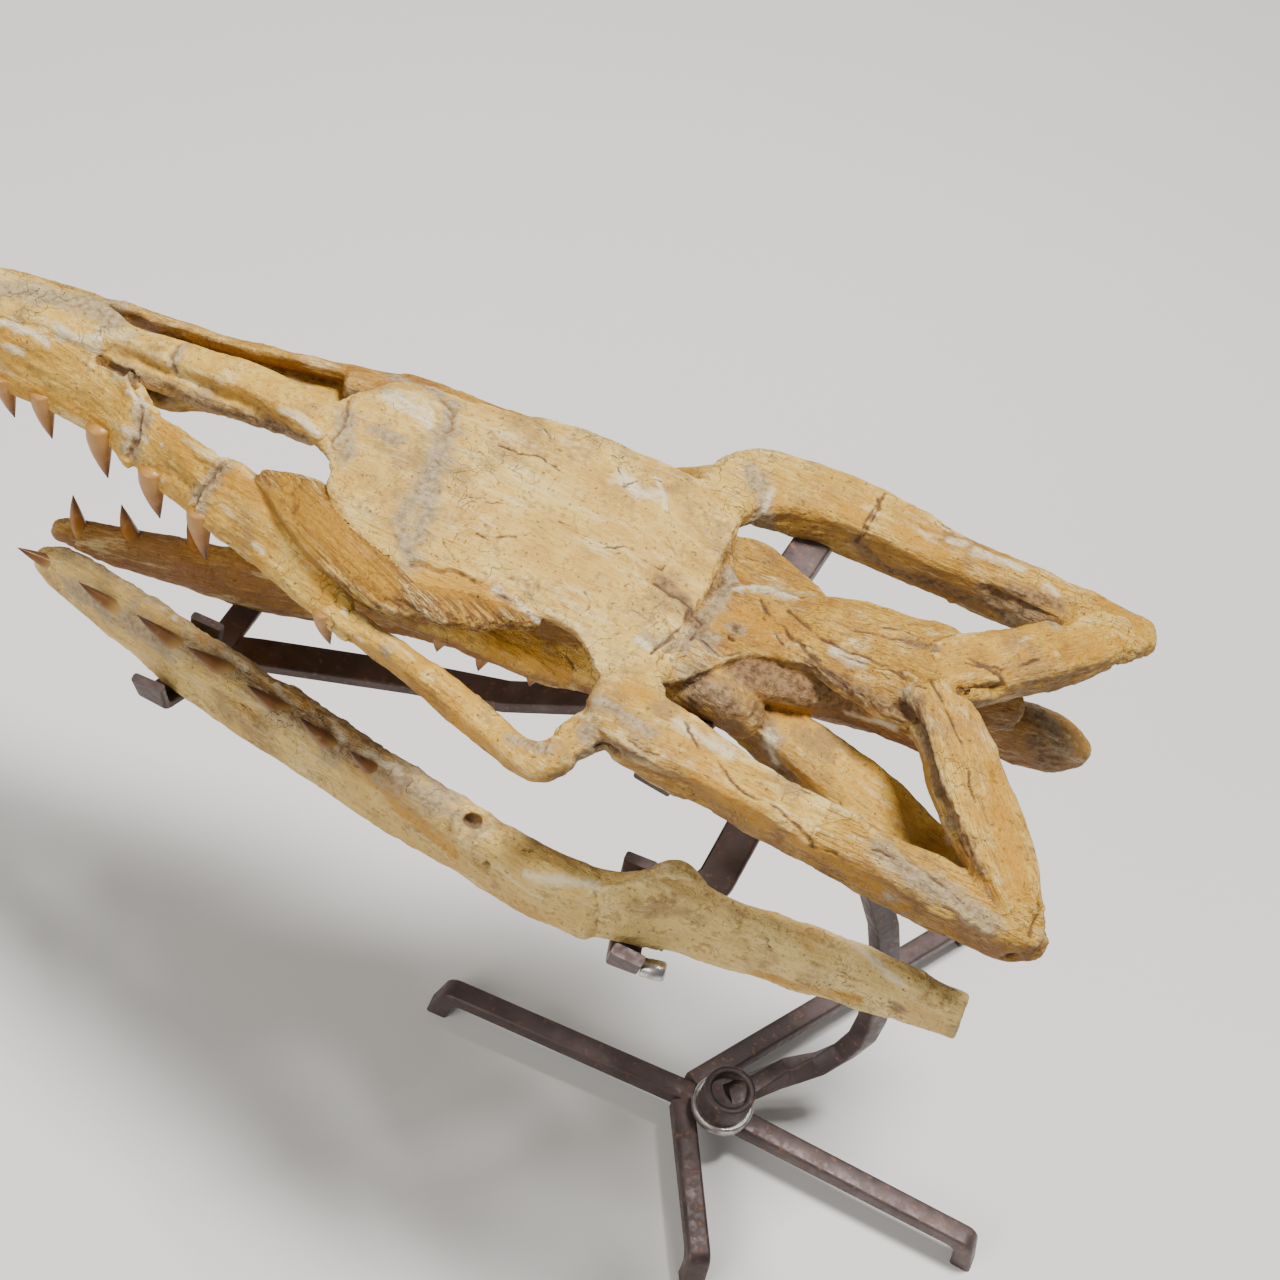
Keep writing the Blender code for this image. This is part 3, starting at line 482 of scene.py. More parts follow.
def normals_of(points, quads):
    across = np.cross(points[quads[:, 2]] - points[quads[:, 0]],
                      points[quads[:, 3]] - points[quads[:, 1]])
    total = np.empty_like(points)
    for k in range(3):
        total[:, k] = sum(np.bincount(quads[:, c], across[:, k], len(points)) for c in range(4))
    return unit(total)


GRAIN = {"prefrontal_left": (55, -22, -4), "prefrontal_right": (65, 20, -4),
         "parietal_ramus_left": (57, -62, -18), "parietal_ramus_right": (57, 62, -12),
         "jugal_left": (100, -28, 2), "jugal_right": (100, 14, 2), "maxilla_left": (220, -50, 8),
         "maxilla_right": (220, 48, 8), "pterygoid_left": (120, -18, -16),
         "dentary_left": (270, -55, 20), "dentary_right": (270, 60, 16)}


def grain_of(name, points):
    """The place along, across and over a bone's grain, in mm."""
    along = unit(np.array(GRAIN.get(name, (1, 0, 0)), float))
    across = unit(np.cross((0, 0, 1), along))
    return np.stack([points @ along, points @ across, points @ np.cross(along, across)], axis=1)


def grains(names, points, bone):
    """Each point's place in its own bone's grain."""
    made = np.empty_like(points)
    for index, name in enumerate(names):
        made[bone == index] = grain_of(name, points[bone == index])
    return made


def steps(values, step):
    """Values cut into flat steps with short slopes between them."""
    level = values / step
    low = np.floor(level)
    part = np.clip((level - low - 0.35) / 0.3, 0, 1)
    return (low + part * part * (3 - 2 * part)) * step


DENTS = ((1.0, 26, 1), (0.65, 12, 2), (0.22, 5, 3), (0.10, 2.4, 4))   # depth, size, seed
EASED, ROOM = 8.2, 0.9      # points over this height, in mm, are eased into the room over it
HIGHEST = 9.85              # no point of a bone stands over this height, in mm


def weather(points, quads, grain, combed):
    """Dents, lumps, flakes, fine grain and chips along the normals."""
    push = sum(depth * noise(points, size, seed) for depth, size, seed in DENTS)
    flaky = np.clip(noise(points, 30, 9) + 0.4, 0, 1)
    layers = noise(grain * (0.25, 1, 1), 7, 10) + 0.35 * noise(grain * (0.3, 1, 1), 2.6, 11)
    push += 1.9 * flaky * steps(layers, 0.3)
    push += 0.25 * noise(grain * (0.12, 1, 1), 2.8, 5) + 0.16 * noise(grain * (0.1, 1, 1), 1.5, 6)
    push += 0.45 * combed * noise(grain * (0.05, 1, 1), 1.9, 12)
    chips = np.clip(noise(points, 9, 7) - 0.55, 0, 1)
    made = points + normals_of(points, quads) * (push - 1.4 * chips)[:, None]
    high = made[:, 2]
    made[:, 2] = np.where(high > EASED, EASED + ROOM * np.tanh((high - EASED) / ROOM), high)
    return made


combed = (skull_bone == skull_names.index("prefrontal_left")) * 1.0     # its fibres stand out
skull_points = weather(skull_points, skull_quads,
                       grains(skull_names, skull_points, skull_bone), combed)
jaw_points = weather(jaw_points, jaw_quads, grains(jaw_names, jaw_points, jaw_bone), 0.0)
print("weathered points:", len(skull_points) + len(jaw_points))

# %% [markdown]
# ## Marks: cracks, seams, ridges, plaster and stains
# Some marks have a place: a crack, a seam between two bones, a patch of white chalk.
# Each is a short line in the skull's frame with a reach, as a brush has a width. A
# mark pushes the points near it in or out, and leaves paint on them for the finish.

# %% Where the marks are
# Each mark is its reach, a colon and the points of its line, all in mm.
MARKS = {
    "crack": """
        1.3: -139 25 6, -131 25 5, -122 29 5, -114 25 5; 1: -96 42 2, -90 33 3, -86 19 4;
        0.9: -91 32 3, -83 42 1, -79 43 1; 0.9: -128 43 3, -123 38 4, -118 36 4;
        1: -85 -20 1, -81 -22 1, -81 -27 0;
        1.6: -63 -3 1, -56 -3 0, -47 -5 -1, -47 -13 -2, -49 -22 -2, -53 -30 -3;
        1.2: -56 -3 0, -58 -11 0, -61 -15 0; 1.2: -47 -5 -1, -41 -9 -3, -42 -17 -3;
        1: -129 -18 4, -121 -16 4, -116 -12 4;
        1.3: -26 14 -6, -19 9 -4, -7 1 -2, 1 -3 -2, 12 -8 -2, 18 -10 -2;
        1: -21 7 -5, -7 -5 -3, 4 -6 -3; 1.2: -31 -52 -2, -27 -57 -2, -23 -61 -2;
        1.6: 8 -69 -4, 17 -71 -5, 28 -74 -9, 36 -74 -8; 1.2: -15 -63 -2, -2 -69 -3, 8 -69 -4;
        1.3: -83 -30 -26, -78 -34 -26; 1: 26 -75 -73, 31 -76 -81; 1.3: 1 88 -4, -1 75 -3, -1 68 -11;
        1.2: -39 -15 -4, -30 -17 -5, -24 -12 -6;
        1.2: 36 -8 3, 50 -21 3, 62 -35 -2, 72 -47 -4, 79 -55 -4; 1.2: 51 14 10, 66 20 8, 79 34 6;
        1.2: 44 2 8, 61 -19 9, 74 -37 4; 1: 47 -68 -5, 65 -67 -6, 82 -72 -6;
        1.1: 10 1 1, 25 0 5, 34 2 6; 1.6: -14 14 -3, -2 7 0, 10 4 2, 26 2 5, 43 -3 9;
        1.2: -10 3 -3, 10 -6 -2, 21 -9 -1; 0.9: 7 20 2, 34 20 6, 45 15 10; 0.9: 12 13 3, 36 17 7;
        1.6: 0 85 -3, 1 72 -4, -1 68 -13; 1.8: 54 18 10, 68 17 5; 1: -43 33 -5, -29 37 -7;
        0.8: -38 26 -5, -18 30 -5; 0.8: -140 -26 3, -132 -31 1; 0.8: -105 3 5, -87 0 4, -73 7 4;
        0.8: -138 -6 6, -121 1 6; 0.8: -72 3 3, -62 4 1, -61 10 1;
        0.9: -60 -10 0, -52 -16 -2, -47 -20 -3""",
    "groove": """
        2.3: -200 -29 -4, -191 -39 -5, -178 -45 -5, -165 -51 -5, -149 -55 -6, -137 -56 -6;
        2.3: -178 -45 -5, -165 -51 -5, -149 -55 -6;
        1.8: -145 -38 -3, -131 -35 0, -120 -35 -1, -107 -35 -2;
        1.8: -45 44 -6, -42 29 -4, -41 15 -3, -44 1 -2, -46 -15 -2, -48 -29 -3;
        1.8: -37 18 -4, -29 19 -6, -12 23 -3, -6 29 -2;
        1.8: -279 -5 -11, -269 -14 -12, -266 -22 -22, -268 -25 -31;
        1.8: -227 -23 -9, -232 -32 -20, -234 -38 -28; 1.8: -267 10 0, -263 1 -4;
        1.8: -198 17 3, -194 2 6, -195 -6 5; 1.6: -168 36 2, -161 31 5, -158 20 7;
        2.1: 108 -61 -5, 109 -72 -8; 1.8: -71 -70 -12, -72 -80 -13;
        2.1: -48 -68 -3, -41 -70 -4, -35 -70 -3; 1.8: 104 -77 -21; 2.1: 59 69 -23""",
    "chalk": """
        3: -240 -38 -106, -234 -42 -107; 3: -213 -44 -102, -204 -48 -103;
        3: -188 -49 -100, -180 -54 -101; 3: -162 -55 -98, -154 -60 -99;
        4: -142 -62 -97, -128 -66 -96; 4: -313 0 -7, -304 -1 -8, -295 -1 -9;
        4: -310 -2 -9, -297 2 -6; 3: -330 -9 -19, -323 -9 -19; 3: -273 -19 -22, -262 -22 -20;
        4: -217 -2 5, -209 -3 6, -200 -6 5; 3: -162 -56 -21; 3: -205 -43 -24, -201 -45 -24;
        5: -184 27 5, -176 25 6, -168 23 7; 7: -93 37 3, -84 31 3, -77 36 3; 3: -81 43 1, -73 33 2;
        4: -35 16 -4, -25 21 -6, -14 21 -3; 5: 8 2 1, 14 0 2, 18 1 3; 3: 20 78 -4, 24 78 -4;
        4: 32 80 -5, 38 81 -5; 5: 43 80 -4, 51 81 -4, 61 81 -4; 4: 73 78 -4, 77 77 -4;
        4: -40 66 -3, -39 58 -6; 4: -65 -87 -87, -52 -86 -82, -38 -83 -79;
        3: 54 -65 -71, 66 -69 -69, 82 -73 -72; 3: -114 -34 -2, -104 -34 -2, -95 -36 -5;
        4: 75 -29 -35; 3: -152 -62 -25; 3: -59 -28 -2, -54 -29 -3; 4: -2 -28 -23, 4 -30 -33;
        3: 22 -5 -20, 39 -5 -16; 3: -334 -5 -12, -321 -4 -11, -314 -5 -12;
        3: -276 -9 -13, -268 -13 -13; 2: -255 -24 -17; 2.5: -250 -30 -28; 4: -187 23 6, -165 19 7;
        5: -33 -54 -2, -12 -58 -2""",
    "plaster": """
        5: -184 5 8, -172 5 8;
        12: -294 -25 -108, -269 -26 -107, -244 -30 -105, -222 -35 -103, -204 -38 -101,
            -177 -45 -99, -151 -51 -97, -131 -59 -95, -104 -66 -93;
        8: -62 -80 -22, -54 -72 -12, -45 -60 -8;
        11: -285 -36 -110, -263 -41 -108, -231 -47 -105, -209 -50 -102, -179 -57 -101,
            -155 -63 -100, -134 -67 -98, -110 -73 -95;
        7: -163 36 3, -160 19 7, -155 -2 8, -150 -16 6, -147 -30 2;
        6: -268 -15 -13, -266 -21 -20, -266 -25 -28; 6: -228 -26 -10, -232 -32 -20, -231 -39 -28;
        4: -265 8 1, -263 2 -3; 5: -189 28 4, -182 27 5; 6: -203 31 -12, -194 5 6, -193 -6 6;
        6: -190 41 -2, -179 40 0, -170 38 2;
        8: -283 -4 -11, -269 2 -20, -248 -4 -7, -228 -4 -9, -208 -4 -5;
        8: -46 69 -2, -40 60 -3, -41 56 -11;
        7: -55 -26 -2, -44 -22 -4, -42 -7 -3, -39 6 -3, -39 23 -4; 7: -60 -70 -8;
        6: -62 -59 -3, -51 -61 -2, -40 -64 -2; 8: 50 -67 -5, 67 -71 -6, 83 -73 -7, 95 -75 -8;
        6: 60 -76 -17; 7: -136 -63 -93, -111 -72 -91, -88 -77 -87;
        10: -37 -29 -7, -30 -30 -10, -21 -32 -12; 7: -2 -26 -22, 5 -30 -33;
        6: 37 -5 5, 54 -26 1, 69 -44 -4; 6: 54 68 -14, 66 67 -18, 79 55 2; 7: 93 75 -76, 111 72 -81;
        6: -85 -79 -19, -72 -80 -13; 5: -142 -63 -23; 5: -44 -14 -3, -34 -11 -5;
        5: -31 -3 -5, -27 -2 -6; 10: -341 6 -7, -318 12 -5, -301 24 -13;
        7: -51 71 -2, -45 63 -2, -37 58 -12; 3: -39 13 -3, -21 24 -5, -8 28 -3;
        6: -41 -14 -3, -34 -16 -5; 5: -264 -17 -13, -270 -24 -28; 6: -229 -30 -16, -234 -34 -25;
        6: -194 8 5, -186 -10 5; 8: -157 20 7, -155 1 8, -157 -26 3, -146 -36 -2;
        12: -333 10 -6, -315 14 -5, -296 14 -5""",
    "stain": """
        7: -203 -25 -4, -190 -36 -4, -178 -42 -4, -165 -48 -4, -150 -52 -5;
        8: -226 -28 -12, -208 -34 -9, -185 -47 -10, -169 -54 -21; 6: -255 -20 -12, -241 -28 -16;
        7: -324 -14 -36, -304 -14 -30, -283 -20 -29; 9: -192 -27 -3, -169 -40 -4, -152 -46 -6;
        8: -138 -42 -3, -122 -38 -2, -111 -36 -2; 8: -42 -8 -3, -28 5 -6, -18 0 -4;
        6: -54 -50 -2, -47 -49 -2; 6: -11 73 -3, -4 73 -3; 6: 94 83 -4, 108 79 -3, 113 73 -8;
        7: 23 -74 -10, 43 -75 -13, 64 -76 -18; 6: -108 -75 -28, -86 -84 -23;
        8: 5 -30 -28, 23 -36 -31; 8: -106 -37 -30, -82 -36 -28; 7: 32 -76 -102, 67 -74 -94;
        6: -226 -42 -101, -174 -58 -97, -122 -76 -94; 8: -177 -51 -98, -132 -71 -94, -96 -83 -101;
        7: 74 -20 6, 92 -49 1, 103 -62 -4; 8: -10 -19 -17, 10 -4 -22, 31 -11 -1; 7: -200 -47 -29;
        5: -12 71 -3, -4 71 -4; 7: 14 75 -3, 24 73 -5, 30 74 -4; 5: 92 43 1, 107 65 -3;
        9: -42 -6 -3, -29 2 -5, -13 4 -3; 5: 72 32 7; 8: -18 -70 -4, 8 -73 -10""",
    # Grime marks are partly dirt and partly painted shade, in recesses and under the palate and
    # jaws.
    "grime_and_shade": """
        7: -2 -22 -33, 10 -27 -37, 23 -31 -42, 35 -33 -46, 44 -35 -48;
        5: -1 68 -14, 12 68 -20, 29 69 -20, 61 68 -16; 9: 54 71 -10, 65 69 -10, 77 66 -8;
        8: 61 70 -5, 80 73 -4; 4: -29 -2 -6; 4: 30 16 6, 41 16 9;
        5: 42 -10 8, 60 -30 -2, 76 -51 -1, 85 -59 -2; 12: -21 -17 -10, 21 -4 -17;
        14: -33 -30 -10, -19 -31 -13; 9: -12 -24 -17, -6 -24 -20; 7: -53 -71 -10, -40 -71 -6;
        6: -64 -84 -19; 5: -62 0 1, -50 -3 -1, -41 -11 -3; 5: -293 25 -14, -283 27 -17, -273 27 -17;
        5: -287 -4 -10, -256 -4 -8, -226 -4 -6, -206 -4 -1; 7: 2 -6 -5, 18 -9 -2, 41 -11 0;
        10: 84 44 -52, 109 69 -91; 6: 84 -73 -86""",
    "ridge": """
        3.2: -99 -75 -88, -96 -68 -88, -88 -67 -88, -84 -77 -87, -88 -83 -91, -96 -82 -91,
            -99 -75 -88;
        3: -36 14 -4, -27 21 -6, -14 21 -3; 3: -183 30 4, -175 30 5, -168 25 6;
        2.6: -39 -86 -81, -30 -81 -76, -21 -77 -70, -14 -72 -66, -8 -71 -66;
        3.5: -29 -50 -3, 1 -56 -4, 38 -59 -5, 61 -68 -6, 95 -79 -8; 2.5: 65 -68 -69, 53 -66 -70;
        3: 42 69 -24; 3: 34 2 6, 39 0 6, 37 -5 5; 3: 42 13 9; 3.5: 84 40 4;
        3: -279 -5 -11, -272 -2 -21, -263 -13 -12""",
    # Hollows are pressed in, and the dark paint they leave is painted shade.
    "hollow_with_painted_shade": """
        5: -54 -68 -13, -47 -67 -12, -40 -66 -10; 2.6: -293 -2 -11, -284 -4 -10, -276 -7 -9;
        4.5: -92 -75 -90; 2.6: -80 -86 -95; 2.2: -29 -7 -4; 8: 56 68 -9, 68 67 -8, 82 63 -2;
        4: -46 -69 -3, -39 -70 -3; 4: 107 -77 -19; 4: 37 -10 2, 50 -21 3, 62 -35 -2, 73 -48 -5;
        5: 55 3 9, 69 14 4""",
}
EFFECTS = {   # what is painted, how strongly, and how far it pushes, in mm
    # The dark paint of hollows is painted shade, and grime is partly dirt and partly painted shade.
    "crack": ("dark", 1.0, -0.7), "groove": ("dark", 0.42, -1.2), "hollow_with_painted_shade": ("dark", 0.5, -3.0),
    "ridge": ("pale", 0.3, 1.3), "chalk": ("chalk", 0.8, 0.1), "plaster": ("plaster", 0.9, 0.2),
    "stain": ("stain", 1.0, 0.0), "grime_and_shade": ("grime_and_shade", 1.0, -0.3)}


def read_marks(text):
    """Pairs of a reach and its line of points, from "reach: x y z, x y z; ..." in a text."""
    rows = []
    for row in text.split(";"):
        reach, line = row.split(":")
        places = [[float(c) for c in place.split()] for place in line.split(",")]
        rows.append((float(reach), places))
    return rows


MARKS = {kind: read_marks(text) for kind, text in MARKS.items()}
print("marks:", {kind: len(rows) for kind, rows in MARKS.items()})


# %% Make the marks
STEP, SNAP = 1.5, 5.0       # a mark's steps and how far it may lie off the surface, in mm


def draped(line, surface):
    """The line in short steps, each laid on the surface if it is near enough."""
    line, laid = np.array(line, float), []
    for a, b in zip(line[:-1], line[1:]):
        count = max(int(np.linalg.norm(b - a) / STEP), 1)
        laid += [a + (b - a) * k / count for k in range(count)]
    found = [surface.find_nearest(p, SNAP)[0] for p in laid + [line[-1]]]
    return np.array([p for p in found if p is not None])


def closeness(points, line, reach):
    """The points near a line, and how near: 1 on it, 0 at its reach."""
    inside = (points > line.min(0) - reach) & (points < line.max(0) + reach)
    near = np.flatnonzero(inside.all(axis=1))
    here, best = points[near], np.full(len(near), float(reach))
    for a, b in zip(line[:-1], line[1:]) if len(line) > 1 else [(line[0], line[0] + 1e-3)]:
        step = b - a
        t = np.clip((here - a) @ step / max(step @ step, 1e-9), 0, 1)[:, None]
        best = np.minimum(best, np.linalg.norm(here - a - t * step, axis=1))
    return near, 1 - best / reach


def make_marks(points, quads):
    """The points pushed by the marks, and the paint that they leave."""
    wobble = np.stack([noise(points, 7, 20 + k) + 0.4 * noise(points, 2.6, 30 + k)
                       for k in range(3)], axis=1)
    felt = points + wobble
    surface = BVHTree.FromPolygons(felt.tolist(), quads.tolist())
    paint = {channel: np.zeros(len(points)) for channel, _, _ in EFFECTS.values()}
    push = np.zeros(len(points))
    for kind, rows in MARKS.items():
        channel, strength, depth = EFFECTS[kind]
        for reach, line in rows:
            line = draped(line, surface)
            if len(line) == 0:
                continue
            near, share = closeness(felt, line, reach)
            if kind == "crack":
                share = share * np.clip(0.35 + 0.4 * reach + 0.9 * noise(felt[near], 6, 51), 0, 1)
            paint[channel][near] = np.maximum(paint[channel][near], share * strength)
            deepest = depth * share * share * (3 - 2 * share)
            push[near] = np.where(abs(deepest) > abs(push[near]), deepest, push[near])
    crumble = np.clip(np.maximum(paint["plaster"], paint["grime_and_shade"]) * 2, 0, 1)
    push += crumble * (0.4 * noise(points, 4.2, 41) + 0.3 * noise(points, 2.2, 42))
    made = points + normals_of(points, quads) * push[:, None]
    made[:, 2] = np.minimum(made[:, 2], HIGHEST)
    return made, paint


def hollowness(points, quads):
    """How sunk each point lies among its neighbours: above 0 in a hollow, below on an edge."""
    found, near = np.zeros(len(points)), points
    normals = normals_of(points, quads)
    for rounds, weight in ((3, 1.3), (12, 0.8), (30, 0.2)):
        for _ in range(rounds):
            near = neighbour_mean(near, quads)
        found += weight * np.einsum("ij,ij->i", near - points, normals)
    return np.clip(found, -1.5, 1.5)


skull_points, skull_paint = make_marks(skull_points, skull_quads)
jaw_points, jaw_paint = make_marks(jaw_points, jaw_quads)
skull_paint["sunk"] = hollowness(skull_points, skull_quads)
jaw_paint["sunk"] = hollowness(jaw_points, jaw_quads)
print("painted points:", int(sum((v > 0.3).sum() for v in skull_paint.values())),
      "mean hollow:", round(float(abs(skull_paint["sunk"]).mean()), 3))

# %% [markdown]
# ## Parting the skin into its bones
# The melted skin is one surface, but a skull is many bones. Each point already knows
# which bone it came from. The faces of one bone are taken out, and the openings that
# this leaves, deep inside the joints, are closed, so every bone is a solid body.

# %% Part the bones
def soften_labels(bone, quads, count, rounds):
    """The bone of each point, with ragged borders between the bones evened out."""
    share = np.eye(count)[bone]
    for _ in range(rounds):
        share = 0.5 * share + 0.5 * neighbour_mean(share, quads)
    return share.argmax(axis=1)


def close_rest(work):
    """Each ring of edges that is still open gets a fan of triangles to its middle."""
    left = dict.fromkeys(edge for edge in work.edges if edge.is_boundary)   # keeps its order
    while left:
        ring, waiting = [], [left.popitem()[0]]
        while waiting:
            edge = waiting.pop()
            ring.append(edge)
            nearby = dict.fromkeys(other for vert in edge.verts for other in vert.link_edges
                                   if other in left)
            for other in nearby:
                del left[other]
            waiting += nearby
        places = [vert.co for edge in ring for vert in edge.verts]
        middle = work.verts.new(sum(places, Vector()) / len(places))
        for edge in ring:
            loop = edge.link_loops[0]
            work.faces.new((loop.link_loop_next.vert, loop.vert, middle))


def part_off(name, points, quads, chosen):
    """One bone's closed object from the chosen faces, and the points that it uses."""
    used, corners = np.unique(quads[chosen], return_inverse=True)
    mesh = plain_mesh(name, points[used], corners.reshape(-1, 4).tolist())
    work = bmesh.new()
    work.from_mesh(mesh)
    for face in work.faces:
        face.smooth = True
    rim = [edge for edge in work.edges if edge.is_boundary]
    for edge in rim:
        edge.smooth = False
    closed = bmesh.ops.holes_fill(work, edges=rim, sides=0)["faces"]
    bmesh.ops.triangulate(work, faces=closed)
    close_rest(work)
    still_open = sum(edge.is_boundary for edge in work.edges)
    work.to_mesh(mesh)
    work.free()
    made = bpy.data.objects.new(name, mesh)
    bpy.context.scene.collection.objects.link(made)
    return made, used, still_open


def part_all(names, points, quads, bone):
    bone = soften_labels(bone, quads, len(names), 10)
    corner = np.sort(bone[quads], axis=1)
    face_bone = np.where(corner[:, 1] == corner[:, 2], corner[:, 1], corner[:, 0])
    made = {}
    for index, name in enumerate(names):
        piece, used, still_open = part_off("bone_" + name, points, quads, face_bone == index)
        made[name] = (piece, used)
        print(f"  {name}: {len(piece.data.polygons)} faces, {still_open} open edges")
    return made


skull_pieces = part_all(skull_names, skull_points, skull_quads, skull_bone)
jaw_pieces = part_all(jaw_names, jaw_points, jaw_quads, jaw_bone)

# %% [markdown]
# ## The bone finish
# Fossil bone from phosphate beds is honey yellow, with orange stains, dark brown cracks,
# and grey plaster where pieces were set together. Its paler tops are partly worn and partly
# painted light, and its darker sides and hollows are painted shade. The finish is a tree of
# noise on the object's own coordinates, in millimetres, with grain that runs along each bone.

# %% A short way to write material trees
class Tree:
    """Adds shader nodes by kind, with their inputs given by name or by number."""

    def __init__(self, name):
        self.material = bpy.data.materials.new(name)
        self.material.use_nodes = True
        self.tree = self.material.node_tree
        self.shader = self.tree.nodes["Principled BSDF"]

    def feed(self, socket, value):
        if isinstance(value, bpy.types.NodeSocket):
            self.tree.links.new(value, socket)
        elif isinstance(value, tuple) and len(value) == 3 and socket.type == "RGBA":
            socket.default_value = (*value, 1.0)
        else:
            socket.default_value = value

    def add(self, kind, settings=None, inputs=None, output=0):
        node = self.tree.nodes.new(kind)
        for key, value in (settings or {}).items():
            setattr(node, key, value)
        for key, value in (inputs or {}).items():
            self.feed(node.inputs[key], value)
        return node.outputs[output]

    def place(self, scale, kind="Object"):
        """Object coordinates, in units of 1 mm over the scale."""
        found = self.tree.nodes.new("ShaderNodeTexCoord").outputs[kind]
        return self.stretched(found, scale)

    def noise(self, vector, scale, detail=3.0, rough=0.55, warp=0.0):
        return self.add("ShaderNodeTexNoise", inputs={
            "Vector": vector, "Scale": scale, "Detail": detail, "Roughness": rough,
            "Distortion": warp})

    def ramp(self, value, low, high, to=(0.0, 1.0)):
        return self.add("ShaderNodeMapRange", {"interpolation_type": "SMOOTHSTEP"}, {
            "Value": value, "From Min": low, "From Max": high, "To Min": to[0], "To Max": to[1]})

    def math(self, what, one, two):
        return self.add("ShaderNodeMath", {"operation": what}, {0: one, 1: two})

    def plus(self, one, two):
        return self.math("ADD", one, two)

    def minus(self, one, two):
        return self.math("SUBTRACT", one, two)

    def times(self, one, two):
        return self.math("MULTIPLY", one, two)

    def painted(self, name, output=2):
        """A value that is painted on the points: 0 is its colour, 1 its vector, 2 its number."""
        return self.add("ShaderNodeAttribute", {"attribute_name": name}, output=output)

    def stretched(self, vector, scale):
        return self.add("ShaderNodeMapping", inputs={"Vector": vector, "Scale": scale})

    def mix(self, share, one, two, blend="MIX"):
        return self.add("ShaderNodeMix", {"data_type": "RGBA", "blend_type": blend},
                        {0: share, 6: one, 7: two}, 2)

    def lay(self, colour, share, strength, over):
        """A colour laid over another where the share says, as strongly as given."""
        return self.mix(self.times(share, strength), colour, over)

    def bump(self, height, strength, distance, normal=None):
        inputs = {"Height": height, "Strength": strength, "Distance": distance}
        if normal is not None:
            inputs["Normal"] = normal
        return self.add("ShaderNodeBump", inputs=inputs)

    def finish(self, colour, rough, normal, **fixed):
        self.feed(self.shader.inputs["Base Color"], colour)
        self.feed(self.shader.inputs["Roughness"], rough)
        self.feed(self.shader.inputs["Normal"], normal)
        for key, value in fixed.items():
            self.shader.inputs[key.replace("_", " ")].default_value = value
        return self.material


# %% Fossil bone
COLOURS = {
    "deep honey": (0.34, 0.150, 0.015), "honey": (0.57, 0.300, 0.025),
    "light honey": (0.76, 0.475, 0.075), "cream": (0.85, 0.63, 0.24),
    "pale cream and painted light": (0.85, 0.64, 0.26), "blush": (0.56, 0.25, 0.014), "veil": (0.28, 0.17, 0.060),
    "mottling": (0.32, 0.155, 0.035), "shaded side": (0.27, 0.115, 0.024),
    "smear": (0.88, 0.72, 0.36), "streak": (0.25, 0.10, 0.012), "thread": (0.22, 0.085, 0.012),
    "pale thread": (0.86, 0.66, 0.27), "rib": (0.20, 0.080, 0.014), "speck": (0.16, 0.07, 0.02),
    "orange stain": (0.54, 0.25, 0.010), "dark plaster": (0.20, 0.140, 0.075),
    "light plaster": (0.50, 0.385, 0.235), "dark grime and shade": (0.10, 0.048, 0.018),
    "light grime and shade": (0.32, 0.19, 0.08), "chalk": (0.86, 0.76, 0.52),
    "painted_hollow_shade": (0.14, 0.055, 0.012), "worn edge": (0.86, 0.68, 0.32), "crack": (0.09, 0.04, 0.016),
    "fine crack": (0.18, 0.08, 0.03),
}


